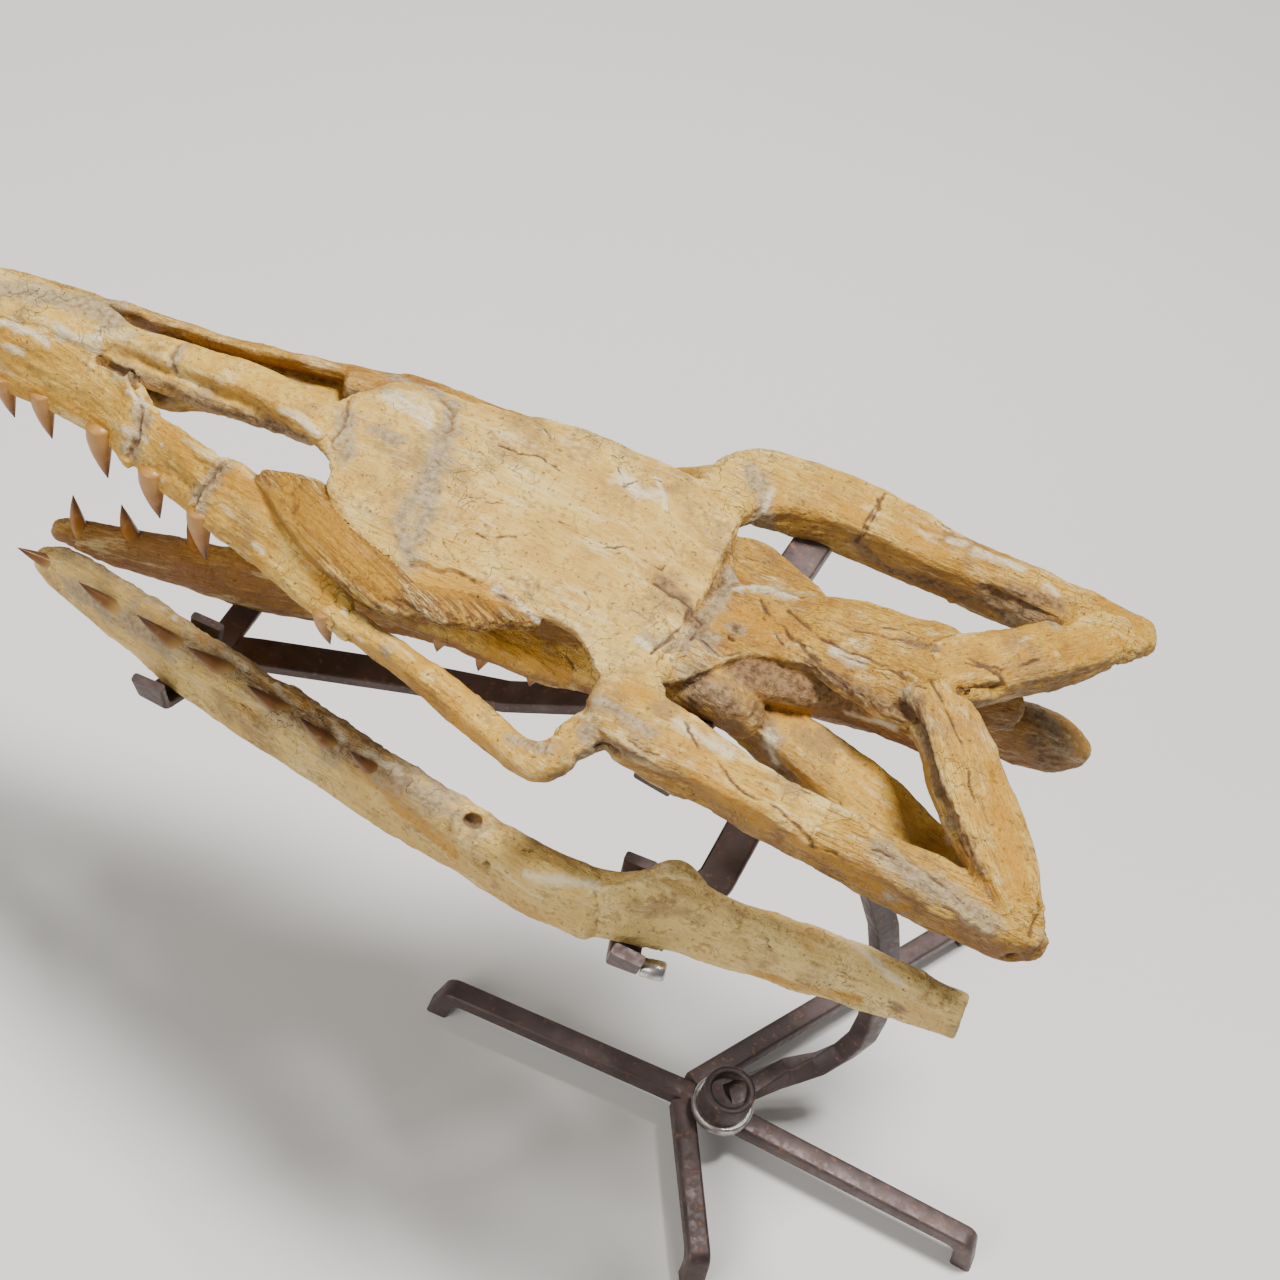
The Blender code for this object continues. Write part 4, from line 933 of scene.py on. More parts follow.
def fossil_bone():
    t = Tree("fossil bone")
    paint = t.painted("paint", 0)
    grain = t.painted("grain", 1)
    channels = t.tree.nodes.new("ShaderNodeSeparateColor")
    t.feed(channels.inputs[0], paint)
    chalk, plaster, stain = channels.outputs
    dark = t.painted("dark")
    pale = t.painted("pale")
    at = t.place((1, 1, 1))
    broad, medium = t.noise(at, 22.0, 4.0), t.noise(at, 90.0, 4.0)
    small, fine = t.noise(at, 420.0, 4.0), t.noise(at, 1700.0, 2.0)
    along = t.stretched(grain, (0.05, 0.9, 0.9))
    streak = t.noise(along, 1.0, 5.0, 0.65)
    sunk = t.painted("sunk")
    thread = t.noise(t.stretched(grain, (0.11, 2.2, 2.2)), 1.0, 4.0, 0.6)
    tone = t.plus(t.times(broad, 0.45), t.times(medium, 0.30))
    tone = t.plus(tone, t.times(streak, 0.25))
    # Paleness is partly the bone's own tone and partly painted light; below 0 it is painted shade.
    tone = t.plus(tone, t.times(pale, 0.07))
    # Painted shade: the tone darkens a little in hollows.
    tone = t.minus(tone, t.times(sunk, 0.05))
    colour = t.mix(t.ramp(tone, 0.38, 0.50), COLOURS["deep honey"], COLOURS["honey"])
    colour = t.mix(t.ramp(tone, 0.47, 0.60), colour, COLOURS["light honey"])
    colour = t.mix(t.ramp(tone, 0.55, 0.68, (0.0, 0.6)), colour, COLOURS["cream"])
    # Painted light in part: pale bones mix towards pale cream, also where the lamps leave them
    # dark.
    colour = t.mix(t.ramp(pale, 0.5, 1.5, (0.0, 0.55)), colour, COLOURS["pale cream and painted light"])
    blush = t.ramp(t.noise(at, 38.0, 3.0), 0.56, 0.68)
    colour = t.lay(colour, blush, 0.35, COLOURS["blush"])
    veil = t.ramp(t.noise(at, 32.0, 6.0, 0.7), 0.50, 0.64)
    colour = t.lay(colour, veil, 0.7, COLOURS["veil"])
    mottled = t.ramp(t.plus(small, t.times(t.minus(medium, 0.5), 0.8)), 0.56, 0.68)
    colour = t.lay(colour, mottled, 0.5, COLOURS["mottling"])
    # Painted shade: faces that turn away from upward, and hidden bones as a whole, darken towards
    # the shaded side colour.
    side = t.painted("side")
    painted_side_shade = t.times(side, t.ramp(medium, 0.3, 0.7, (0.35, 0.9)))
    colour = t.mix(painted_side_shade, colour, COLOURS["shaded side"])
    smear = t.ramp(t.noise(t.stretched(grain, (0.03, 0.12, 0.12)),
                           1.0, 5.0, 0.7), 0.54, 0.68)
    colour = t.lay(colour, smear, 0.62, COLOURS["smear"])
    stria = t.painted("stria")
    colour = t.mix(t.times(t.ramp(streak, 0.50, 0.64), stria), colour, COLOURS["streak"])
    colour = t.mix(t.times(t.ramp(thread, 0.52, 0.66), stria), colour, COLOURS["thread"])
    lined = t.plus(t.times(stria, 0.75), 0.2)
    bright = t.ramp(thread, 0.42, 0.30, (0.0, 0.5))
    colour = t.lay(colour, bright, lined, COLOURS["pale thread"])
    ribbed = t.times(t.ramp(stria, 1.0, 1.2), t.ramp(streak, 0.47, 0.53))
    colour = t.lay(colour, ribbed, 0.85, COLOURS["rib"])
    specks = t.ramp(t.noise(at, 520.0, 2.0, 0.5), 0.66, 0.74)
    colour = t.lay(colour, specks, 0.6, COLOURS["speck"])
    rag = t.plus(t.times(medium, 0.45), t.times(small, 0.3))
    rag = t.plus(rag, t.times(streak, 0.55))

    def patch(share):
        """A painted share with soft, ragged edges from the noise."""
        ragged = t.times(t.minus(rag, 0.65), 1.6)
        return t.times(t.ramp(t.plus(share, ragged), 0.15, 0.8), t.ramp(share, 0.0, 0.25))

    stained, plastered, chalked = patch(stain), patch(plaster), patch(chalk)
    cracks_and_painted_hollow_shade = t.ramp(t.plus(dark, t.times(t.minus(small, 0.5), 0.6)), 0.2, 0.8)
    colour = t.lay(colour, stained, 0.75, COLOURS["orange stain"])
    plaster_colour = t.mix(t.ramp(small, 0.3, 0.7), COLOURS["dark plaster"],
                           COLOURS["light plaster"])
    colour = t.lay(colour, plastered, 0.85, plaster_colour)
    # Dirt and painted shade: grime marks darken recesses towards brown grey.
    grime_and_shade_mask = patch(t.painted("grime_and_shade"))
    grime_and_shade_colour = t.mix(t.ramp(small, 0.35, 0.65), COLOURS["dark grime and shade"], COLOURS["light grime and shade"])
    colour = t.lay(colour, grime_and_shade_mask, 0.85, grime_and_shade_colour)
    colour = t.lay(colour, chalked, 0.7, COLOURS["chalk"])
    # Painted shade: hollows darken towards deep brown, as shade falls in them.
    painted_hollow_shade = t.ramp(t.plus(sunk, t.times(t.minus(small, 0.5), 0.5)), 0.3, 1.3)
    colour = t.lay(colour, painted_hollow_shade, 0.6, COLOURS["painted_hollow_shade"])
    worn = t.ramp(t.plus(sunk, t.times(t.minus(small, 0.5), 0.4)), -0.4, -1.4)
    colour = t.lay(colour, worn, 0.3, COLOURS["worn edge"])
    # Cracks and seams are dark; in hollows the same dark paint is painted shade.
    colour = t.lay(colour, cracks_and_painted_hollow_shade, 0.85, COLOURS["crack"])
    warp = t.add("ShaderNodeTexNoise", inputs={"Vector": at, "Scale": 60.0}, output=1)
    crackle = t.add("ShaderNodeTexVoronoi", {"feature": "DISTANCE_TO_EDGE"}, {
        "Vector": t.mix(0.06, at, warp), "Scale": 55.0})
    line = t.ramp(crackle, 0.014, 0.0)
    line = t.times(line, t.ramp(broad, 0.52, 0.62))
    colour = t.lay(colour, line, 0.5, COLOURS["fine crack"])
    height = t.minus(t.plus(small, t.times(fine, 0.35)), t.times(line, 0.8))
    height = t.minus(height, t.times(specks, 0.5))
    normal = t.bump(medium, 0.4, 0.0012)
    normal = t.bump(t.times(streak, lined), 1.0, 0.0017, normal)
    normal = t.bump(t.times(thread, lined), 0.8, 0.0007, normal)
    normal = t.bump(height, 0.9, 0.0010, normal)
    rough = t.ramp(small, 0.3, 0.7, (0.5, 0.75))
    return t.finish(colour, rough, normal)


bone_finish = fossil_bone()
print("bone finish:", len(bone_finish.node_tree.nodes), "nodes")

# %% [markdown]
# ## Paint: what lies where on the bones
# Each bone carries painted values on its points: chalk, plaster and orange stain in one
# colour, and single numbers for cracks, grime and painted shade, hollows, paleness and
# painted light, striation and painted shade on the sides. One more value holds the place
# along and across the bone's grain, so that streaks follow the bone.

# %% Paint the bones
# How striated each bone is, how much painted shade darkens its sides and its whole, and how pale it
# is, partly its own tone and partly painted light and shade.
STRIA = {
    "prefrontal_left": 1.3, "parietal": 0.8, "squamosal_left": 0.8, "squamosal_right": 0.7,
    "parietal_ramus_left": 0.6, "maxilla_left": 0.2, "jugal_left": 0.15, "premaxilla": 0.2,
    "frontal": 0.3, "dentary_left": 0.3, "postdentary_left": 0.2, "postorbitofrontal_left": 0.4,
    "pterygoid_left": 0.3}
# Painted shade on the sides of each bone that turn away from upward.
PAINTED_SIDE_SHADE = {
    "maxilla_left": 0.15, "maxilla_right": 0.5, "premaxilla": 0.5, "prefrontal_left": 0.2,
    "dentary_left": 0.1, "postdentary_left": 0.0, "jugal_left": 0.5, "dentary_right": 1.0,
    "postdentary_right": 1.0, "braincase": 1.2, "pterygoid_left": 1.3, "squamosal_left": 1.25,
    "postorbitofrontal_left": 1.1}
# Painted shade over the whole of the bones that lie hidden under the skull.
SHADE = {
    "dentary_right": 0.4, "postdentary_right": 0.55, "braincase": 0.45, "pterygoid_right": 0.3,
    "prefrontal_left": 0.15, "prefrontal_right": 0.3, "maxilla_right": 0.25}
# Paleness per bone: partly its own tone, partly painted light on bones the lamps leave dark, and
# below 0 painted shade on hidden bones.
PALE_AND_PAINTED_LIGHT = {
    "frontal": 0.9, "postorbitofrontal_left": 0.7, "postorbitofrontal_right": 0.7,
    "squamosal_right": 0.4, "squamosal_left": 0.4, "premaxilla": 0.6, "parietal": 0.3,
    "dentary_left": 1.1, "postdentary_left": 1.5, "pterygoid_left": 0.6, "maxilla_left": 0.4,
    "parietal_ramus_left": 0.2, "dentary_right": -0.6, "postdentary_right": -0.5,
    "braincase": -0.6}


def put_attribute(mesh, name, kind, values):
    """Values on a mesh's points. The points that closed its openings take the last value."""
    added = len(mesh.vertices) - len(values)
    values = np.concatenate([values, np.repeat(values[-1:], added, axis=0)])
    field = "color" if kind == "FLOAT_COLOR" else "vector" if kind == "FLOAT_VECTOR" else "value"
    flat = np.ascontiguousarray(values, np.float32).ravel()
    mesh.attributes.new(name, kind, "POINT").data.foreach_set(field, flat)


def dress(pieces, points, quads, painted):
    """Paint, finish and place for each bone."""
    # How far each face turns from upward; it sets the painted shade on the sides.
    lean = np.clip((0.62 - normals_of(points, quads)[:, 2]) * 1.7, 0, 1.2)
    for name, (piece, used) in pieces.items():
        places = points[used]
        put_attribute(piece.data, "grain", "FLOAT_VECTOR", grain_of(name, places))
        chalk, plaster, stain = (painted[k][used] for k in ("chalk", "plaster", "stain"))
        put_attribute(piece.data, "paint", "FLOAT_COLOR",
                      np.stack([chalk, plaster, stain, np.ones(len(used))], axis=1))
        numbers = {
            "dark": painted["dark"][used], "sunk": painted["sunk"][used],
            "stria": np.full(len(used), STRIA.get(name, 0.5)), "grime_and_shade": painted["grime_and_shade"][used],
            "side": lean[used] * PAINTED_SIDE_SHADE.get(name, 0.8) + SHADE.get(name, 0.0),
            "pale": PALE_AND_PAINTED_LIGHT.get(name, 0.0) + painted["pale"][used]}
        for field, values in numbers.items():
            put_attribute(piece.data, field, "FLOAT", values)
        piece.data.materials.append(bone_finish)
        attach(piece, "root")
        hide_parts(name)


dress(skull_pieces, skull_points, skull_quads, skull_paint)
dress(jaw_pieces, jaw_points, jaw_quads, jaw_paint)

# %% [markdown]
# ## Teeth
# The teeth are curved cones set along the jaws. One cone is made, and Geometry Nodes
# put a turned and scaled copy of it at every root. The roots are points that carry
# each tooth's direction and size. Modelling each tooth by hand would take far longer.

# %% Tooth finish
def tooth_enamel(name, base, middle, end):
    t = Tree(name)
    tip = t.painted("tip")
    at = t.place((1, 1, 1))
    cloud, fine = t.noise(at, 240.0, 4.0), t.noise(at, 1500.0, 3.0)
    colour = t.mix(t.ramp(tip, 0.0, 0.4), base, middle)
    colour = t.mix(t.ramp(t.plus(tip, t.times(cloud, 0.3)), 0.6, 1.1), colour, end)
    colour = t.mix(t.ramp(cloud, 0.55, 0.7, (0.0, 0.3)), colour, (0.58, 0.34, 0.12))
    normal = t.bump(fine, 0.3, 0.0003)
    return t.finish(colour, t.ramp(cloud, 0.3, 0.7, (0.28, 0.45)), normal)


upper_finish = tooth_enamel("upper tooth enamel",
                            (0.42, 0.205, 0.045), (0.34, 0.135, 0.018), (0.12, 0.045, 0.012))
lower_finish = tooth_enamel("lower tooth enamel",
                            (0.50, 0.31, 0.10), (0.20, 0.085, 0.022), (0.08, 0.03, 0.012))


# %% Geometry Nodes for the teeth
def add_nodes(group, kind, settings=None, inputs=None):
    node = group.nodes.new(kind)
    for key, value in (settings or {}).items():
        setattr(node, key, value)
    for key, value in (inputs or {}).items():
        if isinstance(value, bpy.types.NodeSocket):
            group.links.new(value, node.inputs[key])
        else:
            node.inputs[key].default_value = value
    return node


def named(group, name, kind="FLOAT_VECTOR"):
    found = add_nodes(group, "GeometryNodeInputNamedAttribute", {"data_type": kind}, {"Name": name})
    return found.outputs[0]


def tooth_tree():
    """Copies of a cone on root points, turned to each point's axis and sized."""
    group = bpy.data.node_groups.new("teeth on roots", "GeometryNodeTree")
    face = group.interface
    face.new_socket("Roots", in_out="INPUT", socket_type="NodeSocketGeometry")
    face.new_socket("Cone", in_out="INPUT", socket_type="NodeSocketObject")
    face.new_socket("Finish", in_out="INPUT", socket_type="NodeSocketMaterial")
    face.new_socket("Teeth", in_out="OUTPUT", socket_type="NodeSocketGeometry")
    start, end = group.nodes.new("NodeGroupInput"), group.nodes.new("NodeGroupOutput")
    cone = add_nodes(group, "GeometryNodeObjectInfo", inputs={"Object": start.outputs["Cone"]})
    turn = add_nodes(group, "FunctionNodeAxesToRotation",
                     {"primary_axis": "Z", "secondary_axis": "X"},
                     {0: named(group, "axis"), 1: named(group, "lean")})
    spread = add_nodes(group, "GeometryNodeInstanceOnPoints", inputs={
        "Points": start.outputs["Roots"], "Instance": cone.outputs["Geometry"],
        "Rotation": turn.outputs[0], "Scale": named(group, "size")})
    real = add_nodes(group, "GeometryNodeRealizeInstances", inputs={0: spread.outputs[0]})
    painted = add_nodes(group, "GeometryNodeSetMaterial", inputs={
        "Geometry": real.outputs[0], "Material": start.outputs["Finish"]})
    group.links.new(painted.outputs[0], end.inputs[0])
    return group


def cone_object(bend=0.22, sides=20, rings=16):
    """One tooth, 1 high and 1 across its root, that leans towards X, closed."""
    points, heights, faces = [], [], []
    for i in range(rings + 1):
        h = -0.25 + 1.25 * i / rings
        t = max(h, 0.0)
        radius = 0.5 * (1 - t ** 1.35) ** 0.85 if h > 0 else 0.5 * (1 + 0.05 * h)
        radius = max(radius, 0.03)
        for k in range(sides):
            a = 2 * pi * k / sides
            ridge = 1 + 0.03 * cos(5 * a)
            points.append((radius * ridge * cos(a) + bend * t * t,
                           radius * ridge * 0.9 * sin(a), h))
            heights.append(t)
    for i in range(rings):
        for k in range(sides):
            a, b = i * sides + k, i * sides + (k + 1) % sides
            faces.append((a, b, b + sides, a + sides))
    faces.append(tuple(range(sides))[::-1])
    faces.append(tuple(range(rings * sides, (rings + 1) * sides)))
    mesh = bpy.data.meshes.new("cone")
    mesh.from_pydata(points, [], faces)
    put_attribute(mesh, "tip", "FLOAT", heights)
    for face in mesh.polygons:
        face.use_smooth = True
    return bpy.data.objects.new("cone", mesh)


def grown(name, source, tree, settings):
    """The plain mesh object that a Geometry Nodes tree makes from a source mesh."""
    bpy.context.scene.collection.objects.link(source)
    nodes = source.modifiers.new("nodes", "NODES")
    nodes.node_group = tree
    for item in tree.interface.items_tree:
        if item.item_type == "SOCKET" and item.in_out == "INPUT" and item.name in settings:
            nodes[item.identifier] = settings[item.name]
    bpy.context.view_layer.update()
    held = source.evaluated_get(bpy.context.evaluated_depsgraph_get())
    mesh = bpy.data.meshes.new_from_object(held)
    source.modifiers.clear()
    bpy.data.objects.remove(source)
    mesh.name = name
    made = bpy.data.objects.new(name, mesh)
    bpy.context.scene.collection.objects.link(made)
    return made


TOOTH_TREE, CONE = tooth_tree(), cone_object()


def teeth(name, rows, lean, finish):
    """A row of teeth. Each has its root, its tip and its width, in mm."""
    roots = np.array([r[0] for r in rows], float)
    tips = np.array([r[1] for r in rows], float)
    width = np.array([r[2] for r in rows], float)
    long = np.linalg.norm(tips - roots, axis=1)
    axis = unit(tips - roots)
    source = bpy.data.objects.new(name, plain_mesh(name, roots, []))
    put_attribute(source.data, "axis", "FLOAT_VECTOR", axis)
    leans = np.tile(np.array(lean, float), (len(rows), 1))
    put_attribute(source.data, "lean", "FLOAT_VECTOR", leans)
    put_attribute(source.data, "size", "FLOAT_VECTOR", np.stack([width, width, long], axis=1) * MM)
    made = grown(name, source, TOOTH_TREE, {"Cone": CONE, "Finish": finish})
    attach(made, "root")
    print(f"{name}: {len(rows)} teeth, {len(made.data.polygons)} faces")
    return made


# %% Where the teeth stand
def upper_rows(edge, places, out):
    low = np.array(edge, float)[:, 3:6]
    rows = []
    for x, length, radius in places:
        root = np.array([np.interp(x, low[:, 0], low[:, k]) for k in range(3)]) + (0, 0, 3)
        rows.append((root, root + (3, out * length * 0.2, -length - 3), radius * 2))
    return rows


LEFT_TEETH = [(-376, 9, 3.4), (-354, 11, 3.8), (-329, 12, 4.4), (-312, 14, 4.8), (-284, 16, 5.2),
              (-256, 15, 5.2), (-231, 15, 4.8), (-169, 9, 3.8)]
RIGHT_TEETH = [(-376, 9, 3.4), (-352, 12, 3.8), (-334, 13, 4.2), (-308, 9, 4.4), (-286, 15, 4.8),
               (-250, 15, 4.8), (-227, 8, 4.2), (-205, 12, 4.0), (-182, 9, 3.8)]
LOWER_LEFT = [
    ((-298, -31, -112), (-313, -35, -106), 7.5), ((-263, -41, -108), (-280, -44, -97), 7.5),
    ((-231, -47, -105), (-251, -49, -94), 8.5), ((-209, -50, -102), (-226, -54, -92), 8.5),
    ((-179, -57, -101), (-197, -60, -90), 8.5), ((-155, -63, -100), (-172, -65, -88), 8.5),
    ((-134, -67, -98), (-148, -70, -87), 8.0)]
LOWER_RIGHT = [((-298, -11, -112), (-304, -9, -93), 8), ((-277, -5, -110), (-284, -5, -91), 8.5),
               ((-249, 1, -108), (-257, 1, -89), 8.5), ((-222, 8, -105), (-231, 9, -90), 8),
               ((-196, 15, -102), (-206, 16, -88), 8), ((-170, 20, -99), (-179, 21, -87), 7.5),
               ((-146, 26, -97), (-154, 27, -86), 7.5)]
teeth("teeth_upper_left", upper_rows(MAXILLA_LEFT + MAXILLA_MIDDLE + MAXILLA_REAR, LEFT_TEETH, -1),
      (1, 0, 0), upper_finish)
teeth("teeth_upper_right", upper_rows(MAXILLA_RIGHT, RIGHT_TEETH, 1), (1, 0, 0), upper_finish)
PALATE_LEFT = [((-129, -39, -37), (-130, -41, -42), 5.5), ((-112, -37, -39), (-113, -40, -44), 5.5),
               ((-92, -35, -39), (-93, -37, -43.5), 5.5)]
teeth("teeth_palate_left", PALATE_LEFT, (1, 0, 0), upper_finish)
teeth("teeth_lower_left", LOWER_LEFT, (1, 0, 0.3), lower_finish)
teeth("teeth_lower_right", LOWER_RIGHT, (1, 0, 0.3), upper_finish)

# %% [markdown]
# ## The steel stand
# The stand is bent from flat and square steel bar: four legs with turned-down feet, a
# post in a socket, and prongs that cradle the jaws. A bar follows a path, so Geometry
# Nodes sweep a rounded rectangle along it, with each bend rounded. A point's own
# normal tells which way the bar's flat side faces.

# %% Steel finishes
def dark_steel():
    t = Tree("dark steel")
    at = t.place((1, 1, 1))
    broad, small, fine = t.noise(at, 35.0, 4.0), t.noise(at, 260.0, 5.0), t.noise(at, 1300.0, 3.0)
    colour = t.mix(t.ramp(broad, 0.35, 0.65), (0.070, 0.052, 0.049), (0.125, 0.088, 0.084))
    colour = t.mix(t.ramp(small, 0.56, 0.72, (0.0, 0.8)), colour, (0.26, 0.135, 0.095))
    normal = t.bump(small, 0.25, 0.0004)
    normal = t.bump(fine, 0.3, 0.00015, normal)
    return t.finish(colour, t.ramp(small, 0.3, 0.7, (0.38, 0.62)), normal, Metallic=0.55)


def bare_steel():
    t = Tree("bare steel")
    at = t.place((1, 1, 1))
    small, fine = t.noise(at, 220.0, 4.0), t.noise(at, 1500.0, 3.0)
    colour = t.mix(t.ramp(small, 0.4, 0.7), (0.55, 0.53, 0.52), (0.32, 0.27, 0.24))
    rough, normal = t.ramp(small, 0.3, 0.7, (0.25, 0.5)), t.bump(fine, 0.3, 0.00015)
    return t.finish(colour, rough, normal, Metallic=0.95)


steel_finish, silver_finish = dark_steel(), bare_steel()


# %% Geometry Nodes for a steel bar
def bar_tree():
    """A rounded rectangle swept along a path, its bends rounded."""
    group = bpy.data.node_groups.new("bent bar", "GeometryNodeTree")
    face = group.interface
    for name, kind in (("Path", "Geometry"), ("Width", "Float"), ("Height", "Float"),
                       ("Corner", "Float"), ("Bend", "Float"), ("Finish", "Material")):
        face.new_socket(name, in_out="INPUT", socket_type="NodeSocket" + kind)
    face.new_socket("Bar", in_out="OUTPUT", socket_type="NodeSocketGeometry")
    start, end = group.nodes.new("NodeGroupInput"), group.nodes.new("NodeGroupOutput")
    given = start.outputs
    path = add_nodes(group, "GeometryNodeMeshToCurve", inputs={"Mesh": given["Path"]})
    bent = add_nodes(group, "GeometryNodeFilletCurve", {"mode": "POLY"}, {
        "Curve": path.outputs[0], "Radius": given["Bend"], "Limit Radius": True, "Count": 6})
    faced = add_nodes(group, "GeometryNodeSetCurveNormal", {"mode": "FREE"}, {
        "Curve": bent.outputs[0], "Normal": named(group, "flat_side")})
    section = add_nodes(group, "GeometryNodeCurvePrimitiveQuadrilateral", inputs={
        "Width": given["Height"], "Height": given["Width"]})
    rounded = add_nodes(group, "GeometryNodeFilletCurve", {"mode": "POLY"}, {
        "Curve": section.outputs[0], "Radius": given["Corner"], "Limit Radius": True, "Count": 3})
    swept = add_nodes(group, "GeometryNodeCurveToMesh", inputs={
        "Curve": faced.outputs[0], "Profile Curve": rounded.outputs[0], "Fill Caps": True})
    real = add_nodes(group, "GeometryNodeRealizeInstances", inputs={0: swept.outputs[0]})
    painted = add_nodes(group, "GeometryNodeSetMaterial", inputs={
        "Geometry": real.outputs[0], "Material": given["Finish"]})
    group.links.new(painted.outputs[0], end.inputs[0])
    return group


BAR_TREE = bar_tree()
WELD = 3e-5         # points of a swept bar nearer than this, in metres, become one


def bar_sides(points, level):
    """The normal of each path point, so that the bar's height stands along it."""
    points = np.array(points, float)
    spans = unit(np.diff(points, axis=0))
    along = unit(np.vstack([spans[:1], spans]) + np.vstack([spans, spans[-1:]]))
    up = np.array(level, float)
    return unit(up - along * (along @ up)[:, None])


def steel_bar(node, points, wide, high, level=(0, 0, 1), bend=6.0, corner=1.2):
    """A bent bar that stands for a node of the stand."""
    name = node.replace("stand_", "steel_")
    mesh = plain_mesh(name, points, [])
    mesh.edges.add(len(points) - 1)
    for i, edge in enumerate(mesh.edges):
        edge.vertices = (i, i + 1)
    mesh.update()
    put_attribute(mesh, "flat_side", "FLOAT_VECTOR", bar_sides(points, level))
    made = grown(name, bpy.data.objects.new(name, mesh), BAR_TREE, {
        "Width": wide * MM, "Height": high * MM, "Corner": corner * MM, "Bend": bend * MM,
        "Finish": steel_finish})
    fix = bmesh.new()
    fix.from_mesh(made.data)
    bmesh.ops.remove_doubles(fix, verts=fix.verts, dist=WELD)
    bmesh.ops.recalc_face_normals(fix, faces=fix.faces)
    fix.to_mesh(made.data)
    fix.free()
    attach(made, "root")
    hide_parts(node)
    return made


# %% The stand's bars
FLOOR = -350.0
LEG_TOP = FLOOR + 25
LEG_MID = LEG_TOP - 5.5
HUB = (28.0, -19.0)
SOCKET = (48.5, -22.0)
BAR = 11.0
FOOT_END = 0.0025       # a leg's points under this height, in metres, are its foot's end


def leg(node, angle, length, start):
    """A leg from the hub, its end bent down to a flat foot."""
    way = np.array((cos(radians(angle)), sin(radians(angle)), 0))
    hub = np.array((HUB[0], HUB[1], LEG_MID))
    out = hub + way * length
    foot = (out + way * 3) * (1, 1, 0) + (0, 0, FLOOR)
    made = steel_bar(node, [hub + way * start, out + way * -1, foot], BAR - 0.2, BAR - 0.2,
                     bend=7.0, corner=1.6)
    for vertex in made.data.vertices:       # the foot's end is filed flat on the floor
        if vertex.co.z < FOOT_END:
            vertex.co.z = 0.0
    return made


leg("stand_leg_front", 181, 122, -5.5)
leg("stand_leg_rear", -3, 154, 6)
leg("stand_leg_left", -63, 83, 6)
leg("stand_leg_right", 57, 190, 7)
POST = [(*SOCKET, LEG_TOP + 16), (71, 3, LEG_TOP + 17), (83, 10, LEG_TOP + 24),
        (91, 16, LEG_TOP + 35), (95, 18.5, LEG_TOP + 50), (94.5, 19, LEG_TOP + 68),
        (90.5, 18, LEG_TOP + 95),
        (84, 17.5, LEG_TOP + 125), (76, 15.5, LEG_TOP + 151), (66, 13, -151), (52, 9, -121),
        (34, 6, -92), (16, 5, -70), (0, 6, -54), (-12, 7, -44), (-26, 8, -34)]
steel_bar("stand_post", POST, 10, 11, level=(0.6, 0.8, 0.1))
steel_bar("stand_crossbar", [(-33.5, -64, -27), (-15.5, 80, -27)], 15, 11)
steel_bar("stand_spine", [(-22, 10, -36), (-44, 13, -66), (-76, 14, -108), (-110, 12, -128),
                          (-150, 8, -138), (-212, -14, -137), (-232, -21, -138)], 14, 6)
steel_bar("stand_arm", [(20, 8, -78), (5, -14, -88), (2, -44, -104), (-13, -69, -122)], 15, 5)
steel_bar("stand_rear_cradle", [(-27.5, -58, -91), (-26, -60, -111), (-22, -70, -118),
                                (-18, -88, -118), (-17, -91, -103)],
          5, 13, level=(1, 0, 0), bend=5)
steel_bar("stand_front_cradle", [(-230, -28, -108), (-230, -29, -132), (-233, -44, -134),
                                 (-237, -58, -132), (-238, -62, -115)],
          4, 14, level=(1, 0, 0), bend=5)
steel_bar("stand_front_rest", [(-229, -26, -136), (-227, 3, -134.5), (-226, 14, -132.5),
                               (-226, 18, -117)], 4, 12, level=(1, 0, 0), bend=5)
steel_bar("stand_rear_rest", [(50, 9, -118), (12, 30, -121), (-14, 44, -121), (-17, 62, -119),
                              (-18, 66, -104)], 14, 4)


# %% Socket, collar and bolt
def turned(name, node, start, end, profile, finish, sides=64):
    """A turned piece: radii at places along an axis, closed at both ends."""
    start, end = np.array(start, float), np.array(end, float)
    along = unit(end - start)
    side = unit(np.cross(along, (0.3, 0.9, 0.1)))
    other = np.cross(along, side)
    angle = 2 * pi * np.arange(sides) / sides
    circle = np.outer(np.cos(angle), side) + np.outer(np.sin(angle), other)
    rings = [start + (end - start) * t + radius * circle for t, radius in profile]
    points, faces = skin(rings, (False, False))
    mesh = plain_mesh(name, points, faces)
    fix = bmesh.new()
    fix.from_mesh(mesh)
    bmesh.ops.recalc_face_normals(fix, faces=fix.faces)
    for face in fix.faces:
        face.smooth = len(face.verts) == 4
    fix.to_mesh(mesh)
    fix.free()
    made = bpy.data.objects.new(name, mesh)
    bpy.context.scene.collection.objects.link(made)
    mesh.materials.append(finish)
    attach(made, "root")
    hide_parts(node)
    return made


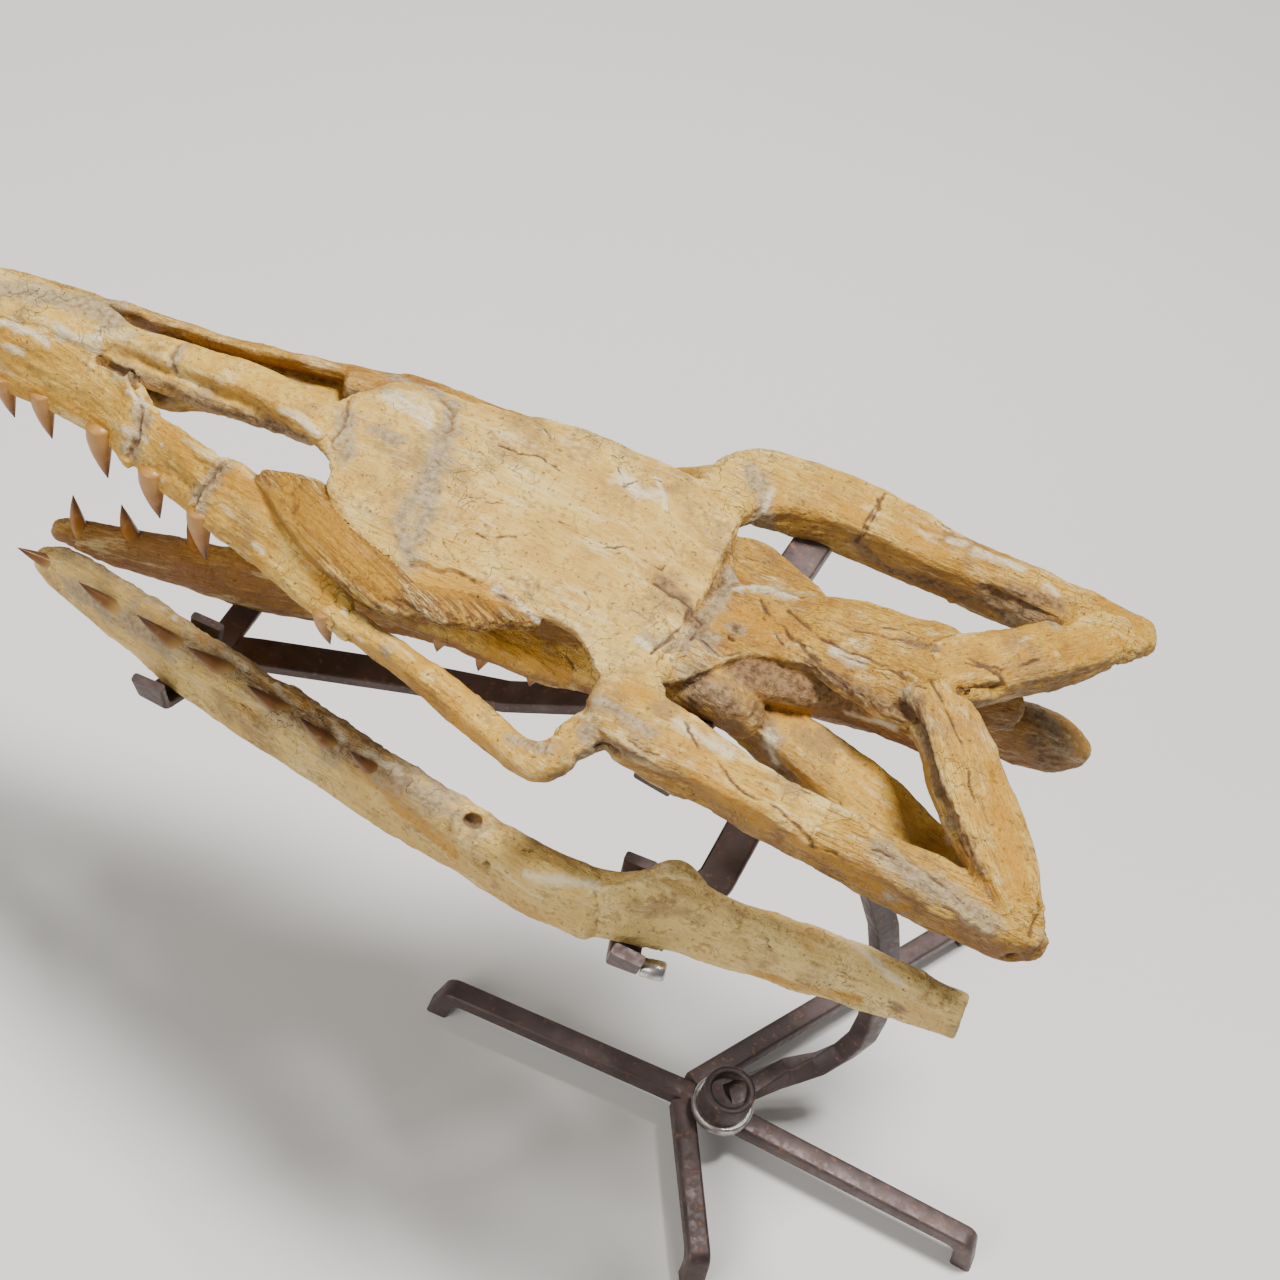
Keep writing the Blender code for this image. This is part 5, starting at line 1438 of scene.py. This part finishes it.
turned("steel_socket", "stand_socket", (*SOCKET, LEG_TOP + 0.3), (*SOCKET, LEG_TOP + 24),
       [(0, 12.2), (0.02, 12.5), (0.94, 12.5), (0.98, 12.2), (1.0, 11.6), (1.0, 9.4), (0.985, 9.0),
        (0.75, 9.0)],
       steel_finish)
turned("steel_collar", "stand_collar", (*SOCKET, LEG_TOP + 3), (*SOCKET, LEG_TOP + 9),
       [(0, 13.4), (0.0, 14.2), (0.2, 15.0), (0.8, 15.0), (1.0, 14.2), (1.0, 13.4)],
       silver_finish)
turned("steel_bolt", "stand_bolt", (-11, -86, -116), (-1.5, -84.5, -115),
       [(0, 3.4), (0.06, 3.8), (0.3, 3.8), (0.34, 4.0), (0.9, 4.0), (1.0, 3.4)],
       silver_finish, 32)

# %% [markdown]
# ## Floor and light
# A pale floor runs out of the picture on every side. One soft light hangs behind the
# skull, so its relief shows, a weaker one fills from the front, and the room does the rest.

# %% Floor
def floor_finish():
    t = Tree("floor")
    at = t.place((1, 1, 1))
    colour = t.mix(t.noise(at, 3.0, 3.0), (0.80, 0.79, 0.77), (0.83, 0.82, 0.80))
    return t.finish(colour, 0.7, t.bump(t.noise(at, 600.0, 2.0), 0.05, 0.0002))


floor_mesh = bpy.data.meshes.new("floor")
floor_mesh.from_pydata([(-20, -20, 0), (20, -20, 0), (20, 20, 0), (-20, 20, 0)], [], [(0, 1, 2, 3)])
floor_mesh.materials.append(floor_finish())
floor = bpy.data.objects.new("floor", floor_mesh)
bpy.context.scene.collection.objects.link(floor)


# %% Lights
def soft_light(name, place, size, power, colour=(1, 1, 1)):
    lamp = bpy.data.lights.new(name, "AREA")
    lamp.size, lamp.energy, lamp.color = size, power, colour
    made = bpy.data.objects.new(name, lamp)
    bpy.context.scene.collection.objects.link(made)
    made.location = place
    made.rotation_euler = (Vector((0, 0, 0.25)) - Vector(place)).to_track_quat("-Z", "Y").to_euler()


soft_light("key", (0.25, 0.28, 2.03), 0.4, 60, (1.0, 0.985, 0.96))
soft_light("fill", (-1.0, -1.5, 1.4), 1.2, 25, (1.0, 0.97, 0.93))
world = bpy.data.worlds.new("room")
bpy.context.scene.world = world
world.use_nodes = True
world.node_tree.nodes["Background"].inputs[0].default_value = (0.99, 0.99, 1.0, 1)
world.node_tree.nodes["Background"].inputs[1].default_value = 0.2
